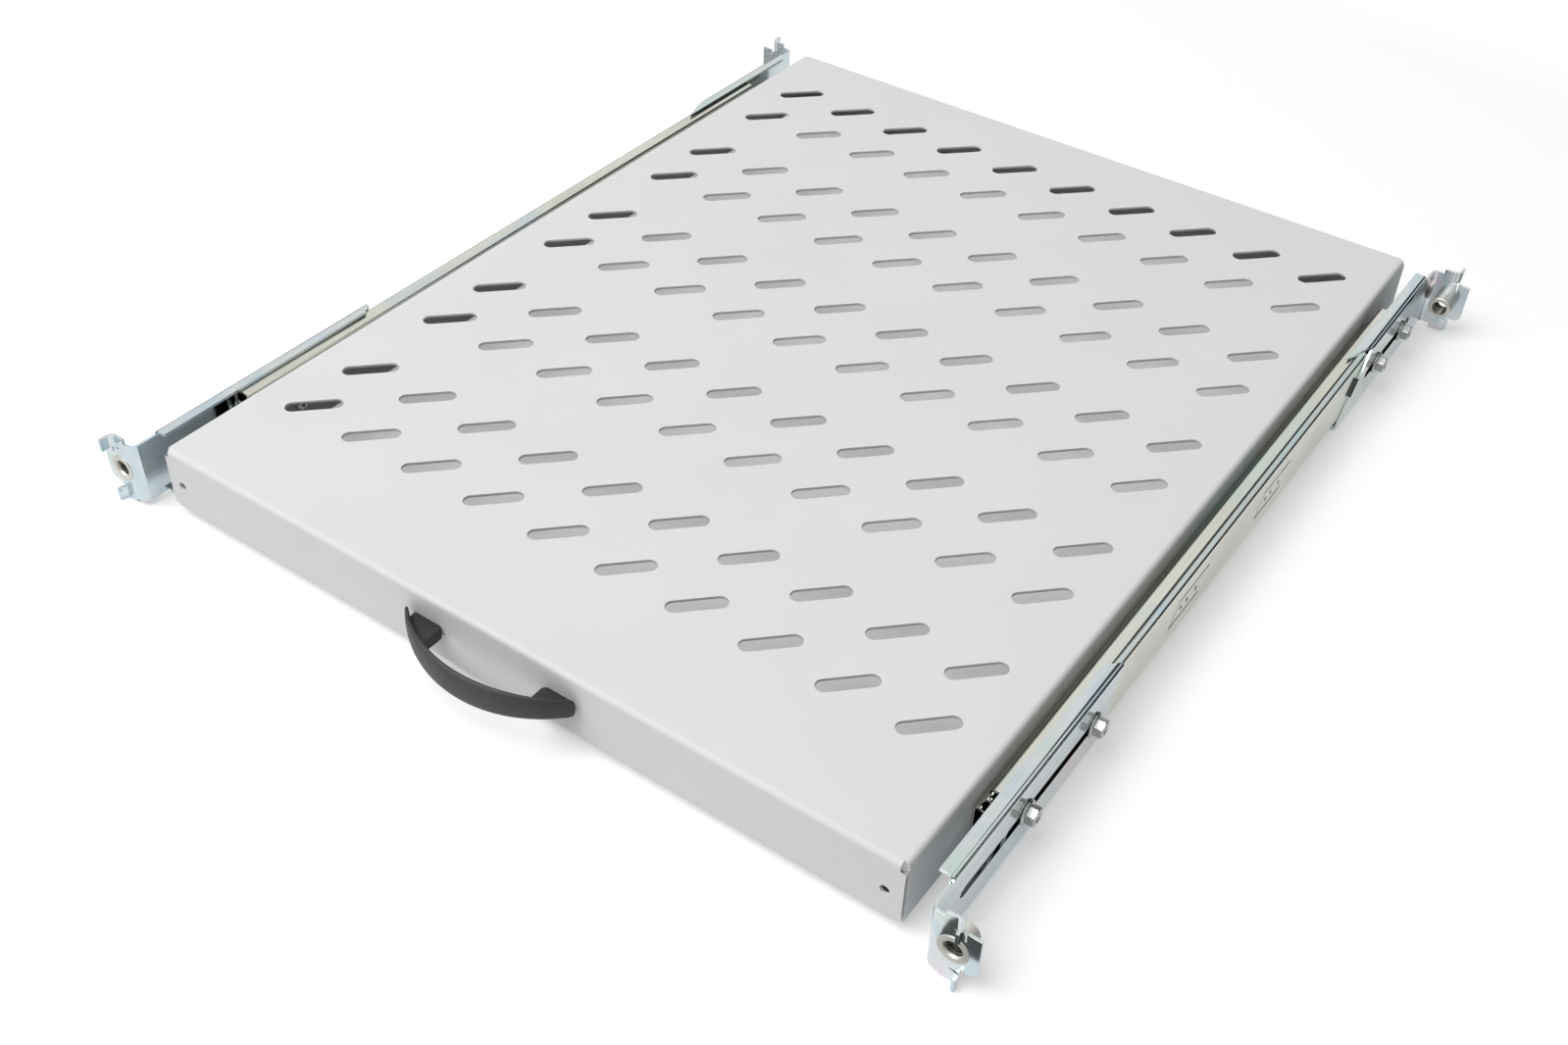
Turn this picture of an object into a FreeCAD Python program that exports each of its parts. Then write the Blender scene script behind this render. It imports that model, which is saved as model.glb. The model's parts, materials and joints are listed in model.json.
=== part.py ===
import FreeCAD, Part
import math
import os
from FreeCAD import Vector

# Sliding shelf for a 19-inch rack. Millimetres, +X right, +Y to the back of the rack, +Z up.
# Origin: midway between the two front fixing holes, on the face that meets the front posts.

# Rack standard
fixing_hole_spacing = 465.1
square_hole_pitch = 15.875
square_hole_size = 9.5
thread_drill = 6.8

# Tray
tray_depth = 533.0
tray_height = 35.0
tray_sheet = 1.5
tray_bend_radius = 2.5
tray_above_rail = 3.0
tray_lip = 12.0
corner_relief = 3.0
corner_seam = 0.6

# Ventilation slots in the tray top
slot_length = 28.0
slot_width = 7.6
slot_columns = 10
slot_column_pitch = 39.0
slot_row_pairs = 5
slot_pair_gap = 38.0
slot_pair_pitch = 95.0
slot_back_margin = 48.8
slot_angle = 45.0
slot_end_steps = 4

# Telescopic slide
slide_thickness = 14.6
rail_height = 34.6
rail_length = 425.0
rail_tongue = 24.0
tongue_radius = 4.0
rail_sheet = 1.5
rail_chamfer = 3.0
rail_bend_radius = 2.1
inner_sheet = 1.2
middle_bend_radius = 1.6
inner_bend_radius = 1.8
inner_rim = 0.8
cage_sheet = 0.8
cage_bend_radius = 2.0
ball_diameter = 3.5
outer_ball_shift = 0.5
race_gap = 0.25
web_gap = 0.4
stage_lead = 2.2
lip_wrap = 100.0
race_wrap = 53.0
cage_play = 0.5
pocket_play = 0.15
balls_per_row = 3
stop_height = 8.0
stop_length = 3.0
stop_depth = 1.0
stop_inset = 1.0
stop_play = 0.3

# Place of the slide in the rack
rail_behind_posts = 62.0
tray_ahead_of_rail = 55.0
rear_posts_behind_rail = 59.0
bracket_play = 0.1
flange_play = 0.3

# Hook brackets
bracket_sheet = 1.5
bracket_bend_radius = 3.0
bracket_flange = 7.0
hole_to_bracket_web = 10.05
bracket_neck = 15.0
plate_half_height = 16.5
plate_bend_radius = 4.0
hook_height = 6.8
upper_hook_reach = 6.5
lower_hook_reach = 3.8
hook_play = 0.5
hook_bend_radius = 2.5
ear_reach = 11.0
ear_top = 12.6
ear_bottom = 9.8
ear_radius = 4.0
relief_slit = 0.8
relief_depth = 4.5
adjust_slot_width = 5.5
front_bolt_places = (11.5, 70.0)
rear_bolt_places = (-25.0, 13.0)
front_slot_lead = 7.0
front_slot_tail = 5.0
front_top_tail = 18.0
front_bottom_tail = 6.0
front_flange_tail = 9.5
rear_slot_lead = 14.0
rear_slot_tail = 16.0
rear_top_tail = -2.0
rear_bottom_tail = 31.0
rear_flange_tail = 20.0

# Bolts and inserts
bolt_diameter = 5.0
bolt_flange = 11.8
bolt_flange_height = 1.3
bolt_hex = 8.0
bolt_head_height = 5.4
round_sides = 12
thread_play = 0.05
insert_collar = 14.0
insert_collar_height = 0.4
insert_body = 12.0
insert_length = 9.0

# Lanced tongues in the outer rail
lance_places = (147.0, 243.0)
lance_length = 32.0
lance_height = 12.0
lance_slant = 8.0
lance_slit = 1.0
lance_windows = (11.2, 17.6, 27.2)
lance_window = 2.2

# Handle
handle_width = 96.8
handle_height = 15.2
handle_tip_height = 9.4
handle_reach = 24.1
handle_thickness = 4.9
handle_tip = 1.8
handle_tip_gap = 1.6
handle_stations = ((0.2, 1.0), (0.4, 1.0), (0.6, 1.0), (0.8, 1.0), (0.92, 0.95), (0.98, 0.7), (1.0, 0.4))
handle_foot_inset = 2.9
handle_foot_width = 16.5
handle_foot_height = 6.0
handle_foot_drop = 3.0
handle_foot_radius = 2.5
handle_foot_bury = 1.2
handle_below_top = 13.3
front_hole = 4.5
front_hole_inset = 8.3
front_hole_below_top = 19.3

# Rear bumper
bumper_length = 8.0
bumper_half_height = 11.0
bumper_radius = 2.0
bumper_peg = 5.0
bumper_play = 0.5

# Derived places
hole_x = fixing_hole_spacing / 2
bracket_x = hole_x - hole_to_bracket_web
rail_x = bracket_x - bracket_sheet - bracket_play
tray_x = rail_x - slide_thickness
tray_top = rail_height / 2 + tray_above_rail
tray_bottom = tray_top - tray_height
rail_front = rail_behind_posts
rail_back = rail_front + rail_length
tray_front = rail_front - tray_ahead_of_rail
tray_back = tray_front + tray_depth
rear_face = rail_back + rear_posts_behind_rail
handle_z = tray_top - handle_below_top

# Derived slide section, u outward from the tray side, v up from the slide's middle
ball_radius = ball_diameter / 2
race_radius = ball_radius + race_gap
outer_ball_u = slide_thickness / 2 + outer_ball_shift
outer_ball_v = rail_height / 2 - rail_sheet - race_radius
outer_web_u = slide_thickness - rail_sheet
outer_cage_u = outer_web_u - web_gap
middle_web_u = outer_cage_u - cage_sheet - web_gap
inner_cage_u = middle_web_u - inner_sheet - web_gap
race_drop = race_radius * math.cos(math.radians(race_wrap))
race_half = race_radius * math.sin(math.radians(race_wrap))
middle_top_v = outer_ball_v - race_drop
inner_ball_u = inner_sheet + race_radius * 2
inner_ball_v = middle_top_v - inner_sheet - race_radius
inner_top_v = inner_ball_v - race_drop
inner_flange_u = inner_ball_u + race_half + inner_rim

# Derived stages and stops along the slide
middle_front = rail_front - stage_lead
middle_back = rail_back - bumper_length - bumper_play
inner_front = middle_front - stage_lead
inner_back = middle_back - stage_lead
cage_travel = rail_length / 4
outer_cage_front = rail_front + stop_inset + stop_length + cage_play + cage_travel
inner_cage_front = middle_front + stop_inset + stop_length + cage_play + cage_travel
outer_cage_back = middle_back - stop_length - cage_play - cage_travel
inner_cage_back = inner_back - inner_sheet - cage_play - cage_travel

# Derived bracket lengths, measured from the face that meets the post
front_slot = (bracket_neck + front_slot_lead, rail_front + front_bolt_places[1] + front_slot_tail)
front_channel_end = [front_slot[1] + tail for tail in (front_top_tail, front_bottom_tail, front_flange_tail)]
rear_bolt_reach = [rear_posts_behind_rail - place for place in rear_bolt_places]
rear_slot = (rear_bolt_reach[1] - rear_slot_lead, rear_bolt_reach[0] + rear_slot_tail)
rear_channel_end = [rear_slot[1] + tail for tail in (rear_top_tail, rear_bottom_tail, rear_flange_tail)]


def at(x, y, z):
    return Vector(x, y, z)


def section_point(u, v):
    return Vector(tray_x + u, 0, v)


def rounded_edges(corners, closed=False):
    """Edges through (point, radius) corners, each corner rounded by a tangent arc."""
    count = len(corners)
    spans = []
    for index, (corner, radius) in enumerate(corners):
        at_end = not closed and index in (0, count - 1)
        if radius == 0 or at_end:
            spans.append((corner, None, corner))
            continue
        before = (corners[index - 1][0] - corner).normalize()
        after = (corners[(index + 1) % count][0] - corner).normalize()
        half_angle = before.getAngle(after) / 2
        reach = radius / math.tan(half_angle)
        bisector = (before + after).normalize()
        middle = corner + bisector * (radius / math.sin(half_angle) - radius)
        spans.append((corner + before * reach, middle, corner + after * reach))
    edges = []
    for index, (entry, middle, leave) in enumerate(spans):
        if middle is not None:
            edges.append(Part.Arc(entry, middle, leave).toShape())
        if index + 1 < count or closed:
            following = spans[(index + 1) % count][0]
            if (following - leave).Length > 1e-6:
                edges.append(Part.makeLine(leave, following))
    return edges


def prism(corners, direction):
    """Solid of a rounded outline pushed along a direction."""
    wire = Part.Wire(rounded_edges(corners, closed=True))
    return Part.Face(wire).extrude(direction)


def section_arc(u, v, radius, start, end):
    """Arc about (u, v) in the slide section, angles in degrees."""
    points = []
    for angle in (start, (start + end) / 2, end):
        turn = math.radians(angle)
        points.append(section_point(u + radius * math.cos(turn), v + radius * math.sin(turn)))
    return Part.Arc(*points).toShape()


def folded_face(edges, thickness):
    """Section of a folded sheet that lies on the hollow side of an open outline."""
    wire = Part.Wire(edges)
    sides = [wire.makeOffset2D(step, join=2, fill=True, openResult=True) for step in (thickness, -thickness)]
    return min(sides, key=lambda face: face.Area)


def folded_sheet(edges, thickness, front, back):
    """Folded sheet that runs from front to back."""
    face = folded_face(edges, thickness)
    face.translate(at(0, front, 0))
    return face.extrude(at(0, back - front, 0))


def closed_channel(half_edges, thickness, front, back):
    """Channel from the upper half of its outline, doubled about the middle plane."""
    upper = folded_sheet(half_edges, thickness, front, back)
    lower = upper.mirror(at(0, 0, 0), at(0, 0, 1))
    return upper.fuse(lower).removeSplitter()


def many_sided_bar(sides, rim, length, start, axis):
    """Regular bar that begins at a point and runs along an axis, its corners at the rim radius."""
    corners = []
    for step in range(sides):
        turn = 2 * math.pi * (step + 0.5) / sides
        corners.append((at(rim * math.cos(turn), rim * math.sin(turn), 0), 0))
    bar = prism(corners, at(0, 0, length))
    bar.Placement = FreeCAD.Placement(start, FreeCAD.Rotation(at(0, 0, 1), axis))
    return bar


def left_copy(shape):
    return shape.mirror(at(0, 0, 0), at(1, 0, 0))


def round_ended_slot(length, width, depth):
    """Slot tool along X about the origin, its ends rounded in a few equal steps."""
    radius = width / 2
    straight = length / 2 - radius
    corners = []
    for end in (1, -1):
        for step in range(slot_end_steps + 1):
            turn = math.pi * (step / slot_end_steps - 0.5)
            along = straight + radius * math.cos(turn)
            across = radius * math.sin(turn)
            corners.append((at(end * along, end * across, 0), 0))
    return prism(corners, at(0, 0, depth))


def adjusting_slot(start, end):
    """Slot along the bracket web for the clamping bolts."""
    slot = round_ended_slot(end - start, adjust_slot_width, 4 * bracket_sheet)
    slot.rotate(at(0, 0, 0), at(0, 0, 1), 90)
    slot.rotate(at(0, 0, 0), at(0, 1, 0), 90)
    return slot.translated(at(bracket_x - 2 * bracket_sheet, (start + end) / 2, 0))


def ventilation_slots():
    slot = round_ended_slot(slot_length, slot_width, 4 * tray_sheet)
    slot.rotate(at(0, 0, 0), at(0, 0, 1), slot_angle)
    slots = []
    for column in range(slot_columns):
        x = (column - (slot_columns - 1) / 2) * slot_column_pitch
        for pair in range(slot_row_pairs):
            for member in range(2):
                y = tray_back - slot_back_margin - pair * slot_pair_pitch - member * slot_pair_gap
                slots.append(slot.translated(at(x, y, tray_top - 2 * tray_sheet)))
    return slots


def tray_sides():
    """Top and both side flanges, folded from one sheet."""
    front = tray_front + tray_sheet + corner_seam
    back = tray_back - tray_sheet - corner_seam
    corners = [(at(-tray_x, 0, tray_bottom), 0), (at(-tray_x, 0, tray_top), tray_bend_radius),
               (at(tray_x, 0, tray_top), tray_bend_radius), (at(tray_x, 0, tray_bottom), 0)]
    return folded_sheet(rounded_edges(corners), tray_sheet, front, back)


def end_flange(face_y, inward):
    """Front or back flange with its bend at the top and a stiffening lip below."""
    inside = face_y + inward * 2 * tray_bend_radius
    lip = face_y + inward * tray_lip
    edges = rounded_edges([(at(-tray_x, inside, tray_top), 0),
                           (at(-tray_x, face_y, tray_top), tray_bend_radius),
                           (at(-tray_x, face_y, tray_bottom), tray_bend_radius),
                           (at(-tray_x, lip, tray_bottom), 0)])
    flange = folded_face(edges, tray_sheet).extrude(at(2 * tray_x, 0, 0))
    clearance = tray_sheet + corner_seam
    tools = []
    for side in (-1, 1):
        width = clearance + 1
        start = tray_x - clearance if side > 0 else -tray_x - 1
        near = min(face_y + inward * clearance, lip + inward)
        length = abs(lip + inward - face_y - inward * clearance)
        base = at(start, near, tray_bottom - 1)
        tools.append(Part.makeBox(width, length, tray_height - tray_bend_radius, base))
    return flange.cut(tools)


def make_tray():
    tray = tray_sides().fuse([end_flange(tray_front, 1), end_flange(tray_back, -1)]).removeSplitter()
    tools = ventilation_slots()
    for side in (-1, 1):
        corner = side * (tray_x - corner_relief / 2 + 1) - corner_relief / 2 - 1
        for y in (tray_front - 1, tray_back - corner_relief):
            base = at(corner, y, tray_top - tray_bend_radius - tray_sheet)
            tools.append(Part.makeBox(corner_relief + 1, corner_relief + 1, 3 * tray_bend_radius, base))
        hole = at(side * (tray_x - front_hole_inset), tray_front - 1, tray_top - front_hole_below_top)
        tools.append(many_sided_bar(round_sides, front_hole / 2, 3 * tray_sheet, hole, at(0, 1, 0)))
    return tray.cut(tools)


def bow_arc(half, near, crown, share):
    """Point of the plan arc through both tips and the crown, share 1 being its right tip."""
    rise = near - crown
    radius = (half ** 2 + rise ** 2) / (2 * rise)
    turn = share * math.asin(half / radius)
    return at(radius * math.sin(turn), crown + radius * (1 - math.cos(turn)), handle_z)


def bow_section(share, size):
    """Upright many-sided oval between the outer and the inner arc, less tall towards the tips."""
    crown = tray_front - handle_reach
    inner_tip = tray_front - handle_tip_gap
    outer = bow_arc(handle_width / 2, inner_tip - handle_tip, crown, share)
    inner = bow_arc((handle_width - handle_tip) / 2, inner_tip, crown + handle_thickness, share)
    middle = (outer + inner) * 0.5
    depth = (outer - inner) * (size / 2)
    height = handle_height + (handle_tip_height - handle_height) * share ** 2
    rise = at(0, 0, height * size / 2)
    turns = [2 * math.pi * step / round_sides for step in range(round_sides)]
    corners = [middle + depth * math.cos(turn) + rise * math.sin(turn) for turn in turns]
    return Part.makePolygon(corners + corners[:1])


def handle_bow():
    """Crescent lofted through upright ovals and rounded off at both tips."""
    left_half = [(-share, size) for share, size in reversed(handle_stations)]
    stations = left_half + [(0, 1)] + list(handle_stations)
    return Part.makeLoft([bow_section(share, size) for share, size in stations], True, True)


def bow_inner_face(x):
    """Depth of the bow's inner arc at a distance from the handle's middle."""
    half = (handle_width - handle_tip) / 2
    rise = handle_reach - handle_thickness - handle_tip_gap
    radius = (half ** 2 + rise ** 2) / (2 * rise)
    crown = tray_front - handle_reach + handle_thickness
    return crown + radius - math.sqrt(radius ** 2 - x ** 2)


def handle_foot(side):
    """Wedge-shaped foot from the tray front to just inside the bow, rounded at its inner end."""
    low = handle_z - handle_foot_drop - handle_foot_height / 2
    outer = handle_width / 2 - handle_foot_inset
    inner = outer - handle_foot_width
    corners = [(at(side * inner, tray_front, low), handle_foot_radius),
               (at(side * outer, tray_front, low), 0),
               (at(side * outer, bow_inner_face(outer) - handle_foot_bury, low), 0),
               (at(side * inner, bow_inner_face(inner) - handle_foot_bury, low), 0)]
    return prism(corners, at(0, 0, handle_foot_height))


def make_handle():
    return handle_bow().fuse([handle_foot(-1), handle_foot(1)]).removeSplitter()


def outer_rail_half():
    """Upper half outline of the outer rail, from its curled lip round to the web."""
    top = rail_height / 2
    lip = section_arc(outer_ball_u, outer_ball_v, race_radius + rail_sheet, 90 + lip_wrap, 90)
    corners = [(section_point(outer_ball_u, top), 0),
               (section_point(slide_thickness - rail_chamfer, top), rail_bend_radius),
               (section_point(slide_thickness, top - rail_chamfer), rail_bend_radius),
               (section_point(slide_thickness, 0), 0)]
    return [lip] + rounded_edges(corners)


def middle_rail_half():
    """Upper half outline of the middle rail: lip over the inner balls, groove under the outer balls."""
    top = middle_top_v
    lip = section_arc(inner_ball_u, inner_ball_v, race_radius + inner_sheet, 90 + lip_wrap, 90)
    crest = Part.makeLine(section_point(inner_ball_u, top), section_point(outer_ball_u - race_half, top))
    groove = section_arc(outer_ball_u, outer_ball_v, race_radius, 270 - race_wrap, 270 + race_wrap)
    corners = [(section_point(outer_ball_u + race_half, top), 0),
               (section_point(middle_web_u, top), middle_bend_radius),
               (section_point(middle_web_u, 0), 0)]
    return [lip, crest, groove] + rounded_edges(corners)


def inner_rail_half():
    """Upper half outline of the inner rail: groove under the inner balls, web on the tray side."""
    top = inner_top_v
    corners = [(section_point(0, 0), 0),
               (section_point(0, top), inner_bend_radius),
               (section_point(inner_ball_u - race_half, top), 0)]
    groove = section_arc(inner_ball_u, inner_ball_v, race_radius, 270 - race_wrap, 270 + race_wrap)
    rim = Part.makeLine(section_point(inner_ball_u + race_half, top), section_point(inner_flange_u, top))
    return rounded_edges(corners) + [groove, rim]


def cage_half(ball_u, ball_v, web_u):
    """Upper half outline of a ball cage, from the ball line round to its web."""
    top = ball_v + cage_sheet / 2
    corners = [(section_point(ball_u, top), 0),
               (section_point(web_u, top), cage_bend_radius),
               (section_point(web_u, 0), 0)]
    return rounded_edges(corners)


def pressed_stop(web_u, reach, front):
    """Stop pad pressed out of a web, reach counted outward from the web's face."""
    base = section_point(min(web_u, web_u + reach), -stop_height / 2) + at(0, front, 0)
    return Part.makeBox(abs(reach), stop_length, stop_height, base)


def slit(x, depth, *corners):
    """Straight-sided cutting tool through a web, corners as (y, z)."""
    return prism([(at(x, y, z), 0) for y, z in corners], at(depth, 0, 0))


def lance_slits(front):
    """Slanted frame of slits and three small windows that leave a tongue in the web."""
    half = lance_height / 2
    back = front + lance_length
    lean = lance_slant
    wide = lance_slit
    x = rail_x - 2 * rail_sheet
    depth = 4 * rail_sheet
    tools = [slit(x, depth, (front, -half), (front + wide, -half), (front + lean + wide, half),
                  (front + lean, half)),
             slit(x, depth, (front + lean, half), (back + lean, half), (back + lean, half - wide),
                  (front + lean, half - wide)),
             slit(x, depth, (front, -half), (back, -half), (back, wide - half), (front, wide - half))]
    small = lance_window / 2
    for window in lance_windows:
        y = front + window
        tools.append(slit(x, depth, (y - small, -small), (y + small, -small),
                          (y + small, small), (y - small, small)))
    return tools


def bolt_places():
    front = [rail_front + place for place in front_bolt_places]
    rear = [rail_back + place for place in rear_bolt_places]
    return front, rear


def make_outer_rail():
    rail = closed_channel(outer_rail_half(), rail_sheet, rail_front, rail_back)
    half = rail_height / 2 - rail_chamfer - rail_sheet
    end = rail_back + rail_tongue
    x = rail_x - rail_sheet
    tongue = prism([(at(x, rail_back - 1, -half), 0), (at(x, end, -half), tongue_radius),
                    (at(x, end, half), tongue_radius), (at(x, rail_back - 1, half), 0)], at(rail_sheet, 0, 0))
    stop = pressed_stop(outer_web_u, -stop_depth, rail_front + stop_inset)
    cuts = []
    front, rear = bolt_places()
    for y in front + rear:
        rim = bolt_diameter / 2 + thread_play
        cuts.append(many_sided_bar(round_sides, rim, 3 * rail_sheet, at(x - 1, y, 0), at(1, 0, 0)))
    for place in lance_places:
        cuts.extend(lance_slits(rail_front + place))
    cuts.append(bumper_key(bumper_peg + 2 * thread_play, 3 * rail_sheet))
    return rail.fuse([tongue, stop]).removeSplitter().cut(cuts)


def make_middle_rail():
    rail = closed_channel(middle_rail_half(), inner_sheet, middle_front, middle_back)
    front_stop = pressed_stop(middle_web_u - inner_sheet, -stop_depth, middle_front + stop_inset)
    back_stop = pressed_stop(middle_web_u, stop_depth, middle_back - stop_length)
    return rail.fuse([front_stop, back_stop]).removeSplitter()


def make_inner_rail():
    rail = closed_channel(inner_rail_half(), inner_sheet, inner_front, inner_back)
    base = section_point(0, -stop_height / 2) + at(0, inner_back - inner_sheet, 0)
    tab = Part.makeBox(inner_cage_u - stop_play, inner_sheet, stop_height, base)
    return rail.fuse(tab).removeSplitter()


def ball_places(front, back):
    pitch = (back - front) / balls_per_row
    return [front + (index + 0.5) * pitch for index in range(balls_per_row)]


def make_ball(centre):
    """Ball as an 18-faced solid whose farthest corners lie on the true radius."""
    rim = ball_radius / math.sqrt(1.5) / math.cos(math.pi / 8)
    bars = []
    for axis in (at(1, 0, 0), at(0, 1, 0), at(0, 0, 1)):
        bars.append(many_sided_bar(8, rim, ball_diameter, centre - axis * ball_radius, axis))
    return bars[0].common(bars[1]).common(bars[2])


def make_cage(ball_u, ball_v, web_u, front, back):
    cage = closed_channel(cage_half(ball_u, ball_v, web_u), cage_sheet, front, back)
    pockets = []
    for y in ball_places(front, back):
        start = section_point(ball_u, -rail_height / 2) + at(0, y, 0)
        pockets.append(many_sided_bar(8, ball_radius + pocket_play, rail_height, start, at(0, 0, 1)))
    return cage.cut(pockets)


def make_balls(ball_u, ball_v, web_u, front, back):
    balls = []
    for y in ball_places(front, back):
        for v in (-ball_v, ball_v):
            balls.append(make_ball(section_point(ball_u, v) + at(0, y, 0)))
    return Part.makeCompound(balls)


def bumper_key(size, depth):
    """Square peg of the bumper, reaching outward through the rail web."""
    y = rail_back - bumper_length / 2
    base = section_point(outer_web_u - 1, -size / 2) + at(0, y - size / 2, 0)
    return Part.makeBox(depth + 1, size, size, base)


def make_rear_bumper():
    near = inner_sheet + race_radius
    front = at(0, rail_back - bumper_length, 0)
    corners = [(section_point(near, -bumper_half_height) + front, bumper_radius),
               (section_point(outer_web_u, -bumper_half_height) + front, 0),
               (section_point(outer_web_u, bumper_half_height) + front, 0),
               (section_point(near, bumper_half_height) + front, bumper_radius)]
    block = prism(corners, at(0, bumper_length, 0))
    return block.fuse(bumper_key(bumper_peg, rail_sheet)).removeSplitter()


def bracket_channel(end):
    """C part that wraps the outer rail, its free end cut on the slant."""
    top_end, bottom_end, flange_end = end
    outside = rail_height / 2 + flange_play + bracket_sheet
    edge_x = bracket_x - bracket_flange
    longest = max(end)
    corners = [(at(edge_x, 0, outside), 0),
               (at(bracket_x, 0, outside), bracket_bend_radius),
               (at(bracket_x, 0, 0), 0)]
    channel = closed_channel(rounded_edges(corners), bracket_sheet, bracket_neck, longest)
    far = longest + 1
    high = outside + 1
    slant = [(at(edge_x - 1, top_end, outside), 0), (at(edge_x - 1, bottom_end, -outside), 0),
             (at(edge_x - 1, far, -outside), 0), (at(edge_x - 1, far, high), 0),
             (at(edge_x - 1, top_end, high), 0)]
    web_cut = prism(slant, at(bracket_flange + 2, 0, 0))
    upper = outside - bracket_sheet
    keep = Part.makeBox(bracket_flange + 2, far, 2 * bracket_sheet, at(edge_x - 1, 0, upper - 0.001))
    web_cut = web_cut.cut(keep)
    corner = [(at(edge_x, flange_end, upper - 1), 0), (at(bracket_x, top_end, upper - 1), 0),
              (at(bracket_x + 1, far, upper - 1), 0), (at(edge_x, far, upper - 1), 0)]
    flange_cut = prism(corner, at(0, 0, 2 * bracket_sheet + 1))
    return channel.cut([web_cut, flange_cut])


def plate_outline():
    """Outline of the hook plate about the fixing hole, as (x, z, radius)."""
    root = -square_hole_size / 2
    bend = square_hole_size / 2 - hook_play - hook_bend_radius - bracket_sheet
    inner = square_hole_pitch - square_hole_size / 2 + hook_play + relief_slit
    outer = inner + hook_height
    core = inner - relief_slit
    ear = square_hole_size / 2
    slit_x = ear - relief_slit
    web = -hole_to_bracket_web - bracket_sheet
    neck = bend - relief_slit
    upper = [(ear_reach, ear_top, 0), (ear, ear_top, 0), (ear, ear_top - relief_depth, 0),
             (slit_x, ear_top - relief_depth, 0), (slit_x, core, 0), (neck, core, 0), (neck, inner, 0),
             (bend, inner, 0), (bend, outer, 0), (root, outer, 0), (root, plate_half_height, 0),
             (web, plate_half_height, 0)]
    lower = [(web, -plate_half_height, 0), (root, -plate_half_height, 0), (root, -outer, 0),
             (bend, -outer, 0), (bend, -inner, 0), (neck, -inner, 0), (neck, -core, 0),
             (slit_x, -core, 0), (slit_x, relief_slit - ear_bottom, 0), (ear, relief_slit - ear_bottom, 0),
             (ear, -ear_bottom, 0), (ear_reach, -ear_bottom, ear_radius)]
    return upper + lower, bend, inner, outer


def plate_hook(bend, inner, outer, reach):
    """Upper locating hook, curled from the plate towards the post."""
    leg = hole_x + square_hole_size / 2 - hook_play
    path = rounded_edges([(at(hole_x + bend, bracket_sheet, inner), 0),
                          (at(leg, bracket_sheet, inner), hook_bend_radius + bracket_sheet),
                          (at(leg, -reach, inner), 0)])
    return folded_face(path, bracket_sheet).extrude(at(0, 0, outer - inner))


def hook_plate():
    """Neck, outward bend and plate, with the two locating hooks curled towards the post."""
    outline, bend, inner, outer = plate_outline()
    web_face = bracket_x - bracket_sheet
    far = hole_x + ear_reach + 1
    height = outer + 1
    path = rounded_edges([(at(web_face, bracket_neck, -height), 0),
                          (at(web_face, 0, -height), plate_bend_radius),
                          (at(far, 0, -height), 0)])
    folded = folded_face(path, bracket_sheet).extrude(at(0, 0, 2 * height))
    corners = [(at(hole_x + x, -1, z), radius) for x, z, radius in outline]
    plate = folded.common(prism(corners, at(0, bracket_neck + 2, 0)))
    upper_hook = plate_hook(bend, inner, outer, upper_hook_reach)
    lower_hook = plate_hook(bend, inner, outer, lower_hook_reach).mirror(at(0, 0, 0), at(0, 0, 1))
    return plate.fuse([upper_hook, lower_hook])


def make_bracket(end, slot):
    bracket = bracket_channel(end).fuse(hook_plate()).removeSplitter()
    rim = insert_body / 2 + thread_play
    seat = many_sided_bar(round_sides, rim, 3 * bracket_sheet, at(hole_x, -bracket_sheet, 0), at(0, 1, 0))
    return bracket.cut([adjusting_slot(*slot), seat])


def make_insert():
    """Press-in threaded insert: collar against the post, body behind the plate."""
    inward = at(0, 1, 0)
    face = at(hole_x, -insert_collar_height, 0)
    length = insert_collar_height + bracket_sheet + insert_length
    collar = many_sided_bar(round_sides, insert_collar / 2, insert_collar_height, face, inward)
    body = many_sided_bar(round_sides, insert_body / 2, length, face, inward)
    bore = Part.makeCylinder(thread_drill / 2, length, face, inward)
    return collar.fuse(body).removeSplitter().cut(bore)


def flange_bolt(y):
    """Hexagon flange bolt seated on the bracket web, its end level with the rail's inner face."""
    outward = at(1, 0, 0)
    seat = bracket_x + bracket_play
    tip = rail_x - rail_sheet
    shank = many_sided_bar(round_sides, bolt_diameter / 2, seat - tip, at(tip, y, 0), outward)
    flange = many_sided_bar(round_sides, bolt_flange / 2, bolt_flange_height, at(seat, y, 0), outward)
    hexagon = many_sided_bar(6, bolt_hex / math.sqrt(3), bolt_head_height, at(seat, y, 0), outward)
    return shank.fuse([flange, hexagon]).removeSplitter()


def make_bolts(places):
    return Part.makeCompound([flange_bolt(y) for y in places])


def turned_to_rear(shape):
    return shape.mirror(at(0, rear_face / 2, 0), at(0, 1, 0))


def side_parts():
    """Every sub-part of the right-hand slide and its brackets."""
    outer_row = (outer_ball_u, outer_ball_v, outer_cage_u, outer_cage_front, outer_cage_back)
    inner_row = (inner_ball_u, inner_ball_v, inner_cage_u, inner_cage_front, inner_cage_back)
    insert = make_insert()
    front_bolts, rear_bolts = bolt_places()
    return {
        "outer_rail": make_outer_rail(),
        "middle_rail": make_middle_rail(),
        "inner_rail": make_inner_rail(),
        "outer_ball_cage": make_cage(*outer_row),
        "inner_ball_cage": make_cage(*inner_row),
        "outer_balls": make_balls(*outer_row),
        "inner_balls": make_balls(*inner_row),
        "rear_bumper": make_rear_bumper(),
        "front_bracket": make_bracket(front_channel_end, front_slot),
        "front_insert": insert,
        "front_bolts": make_bolts(front_bolts),
        "rear_bracket": turned_to_rear(make_bracket(rear_channel_end, rear_slot)),
        "rear_insert": turned_to_rear(insert),
        "rear_bolts": make_bolts(rear_bolts),
    }


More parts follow.
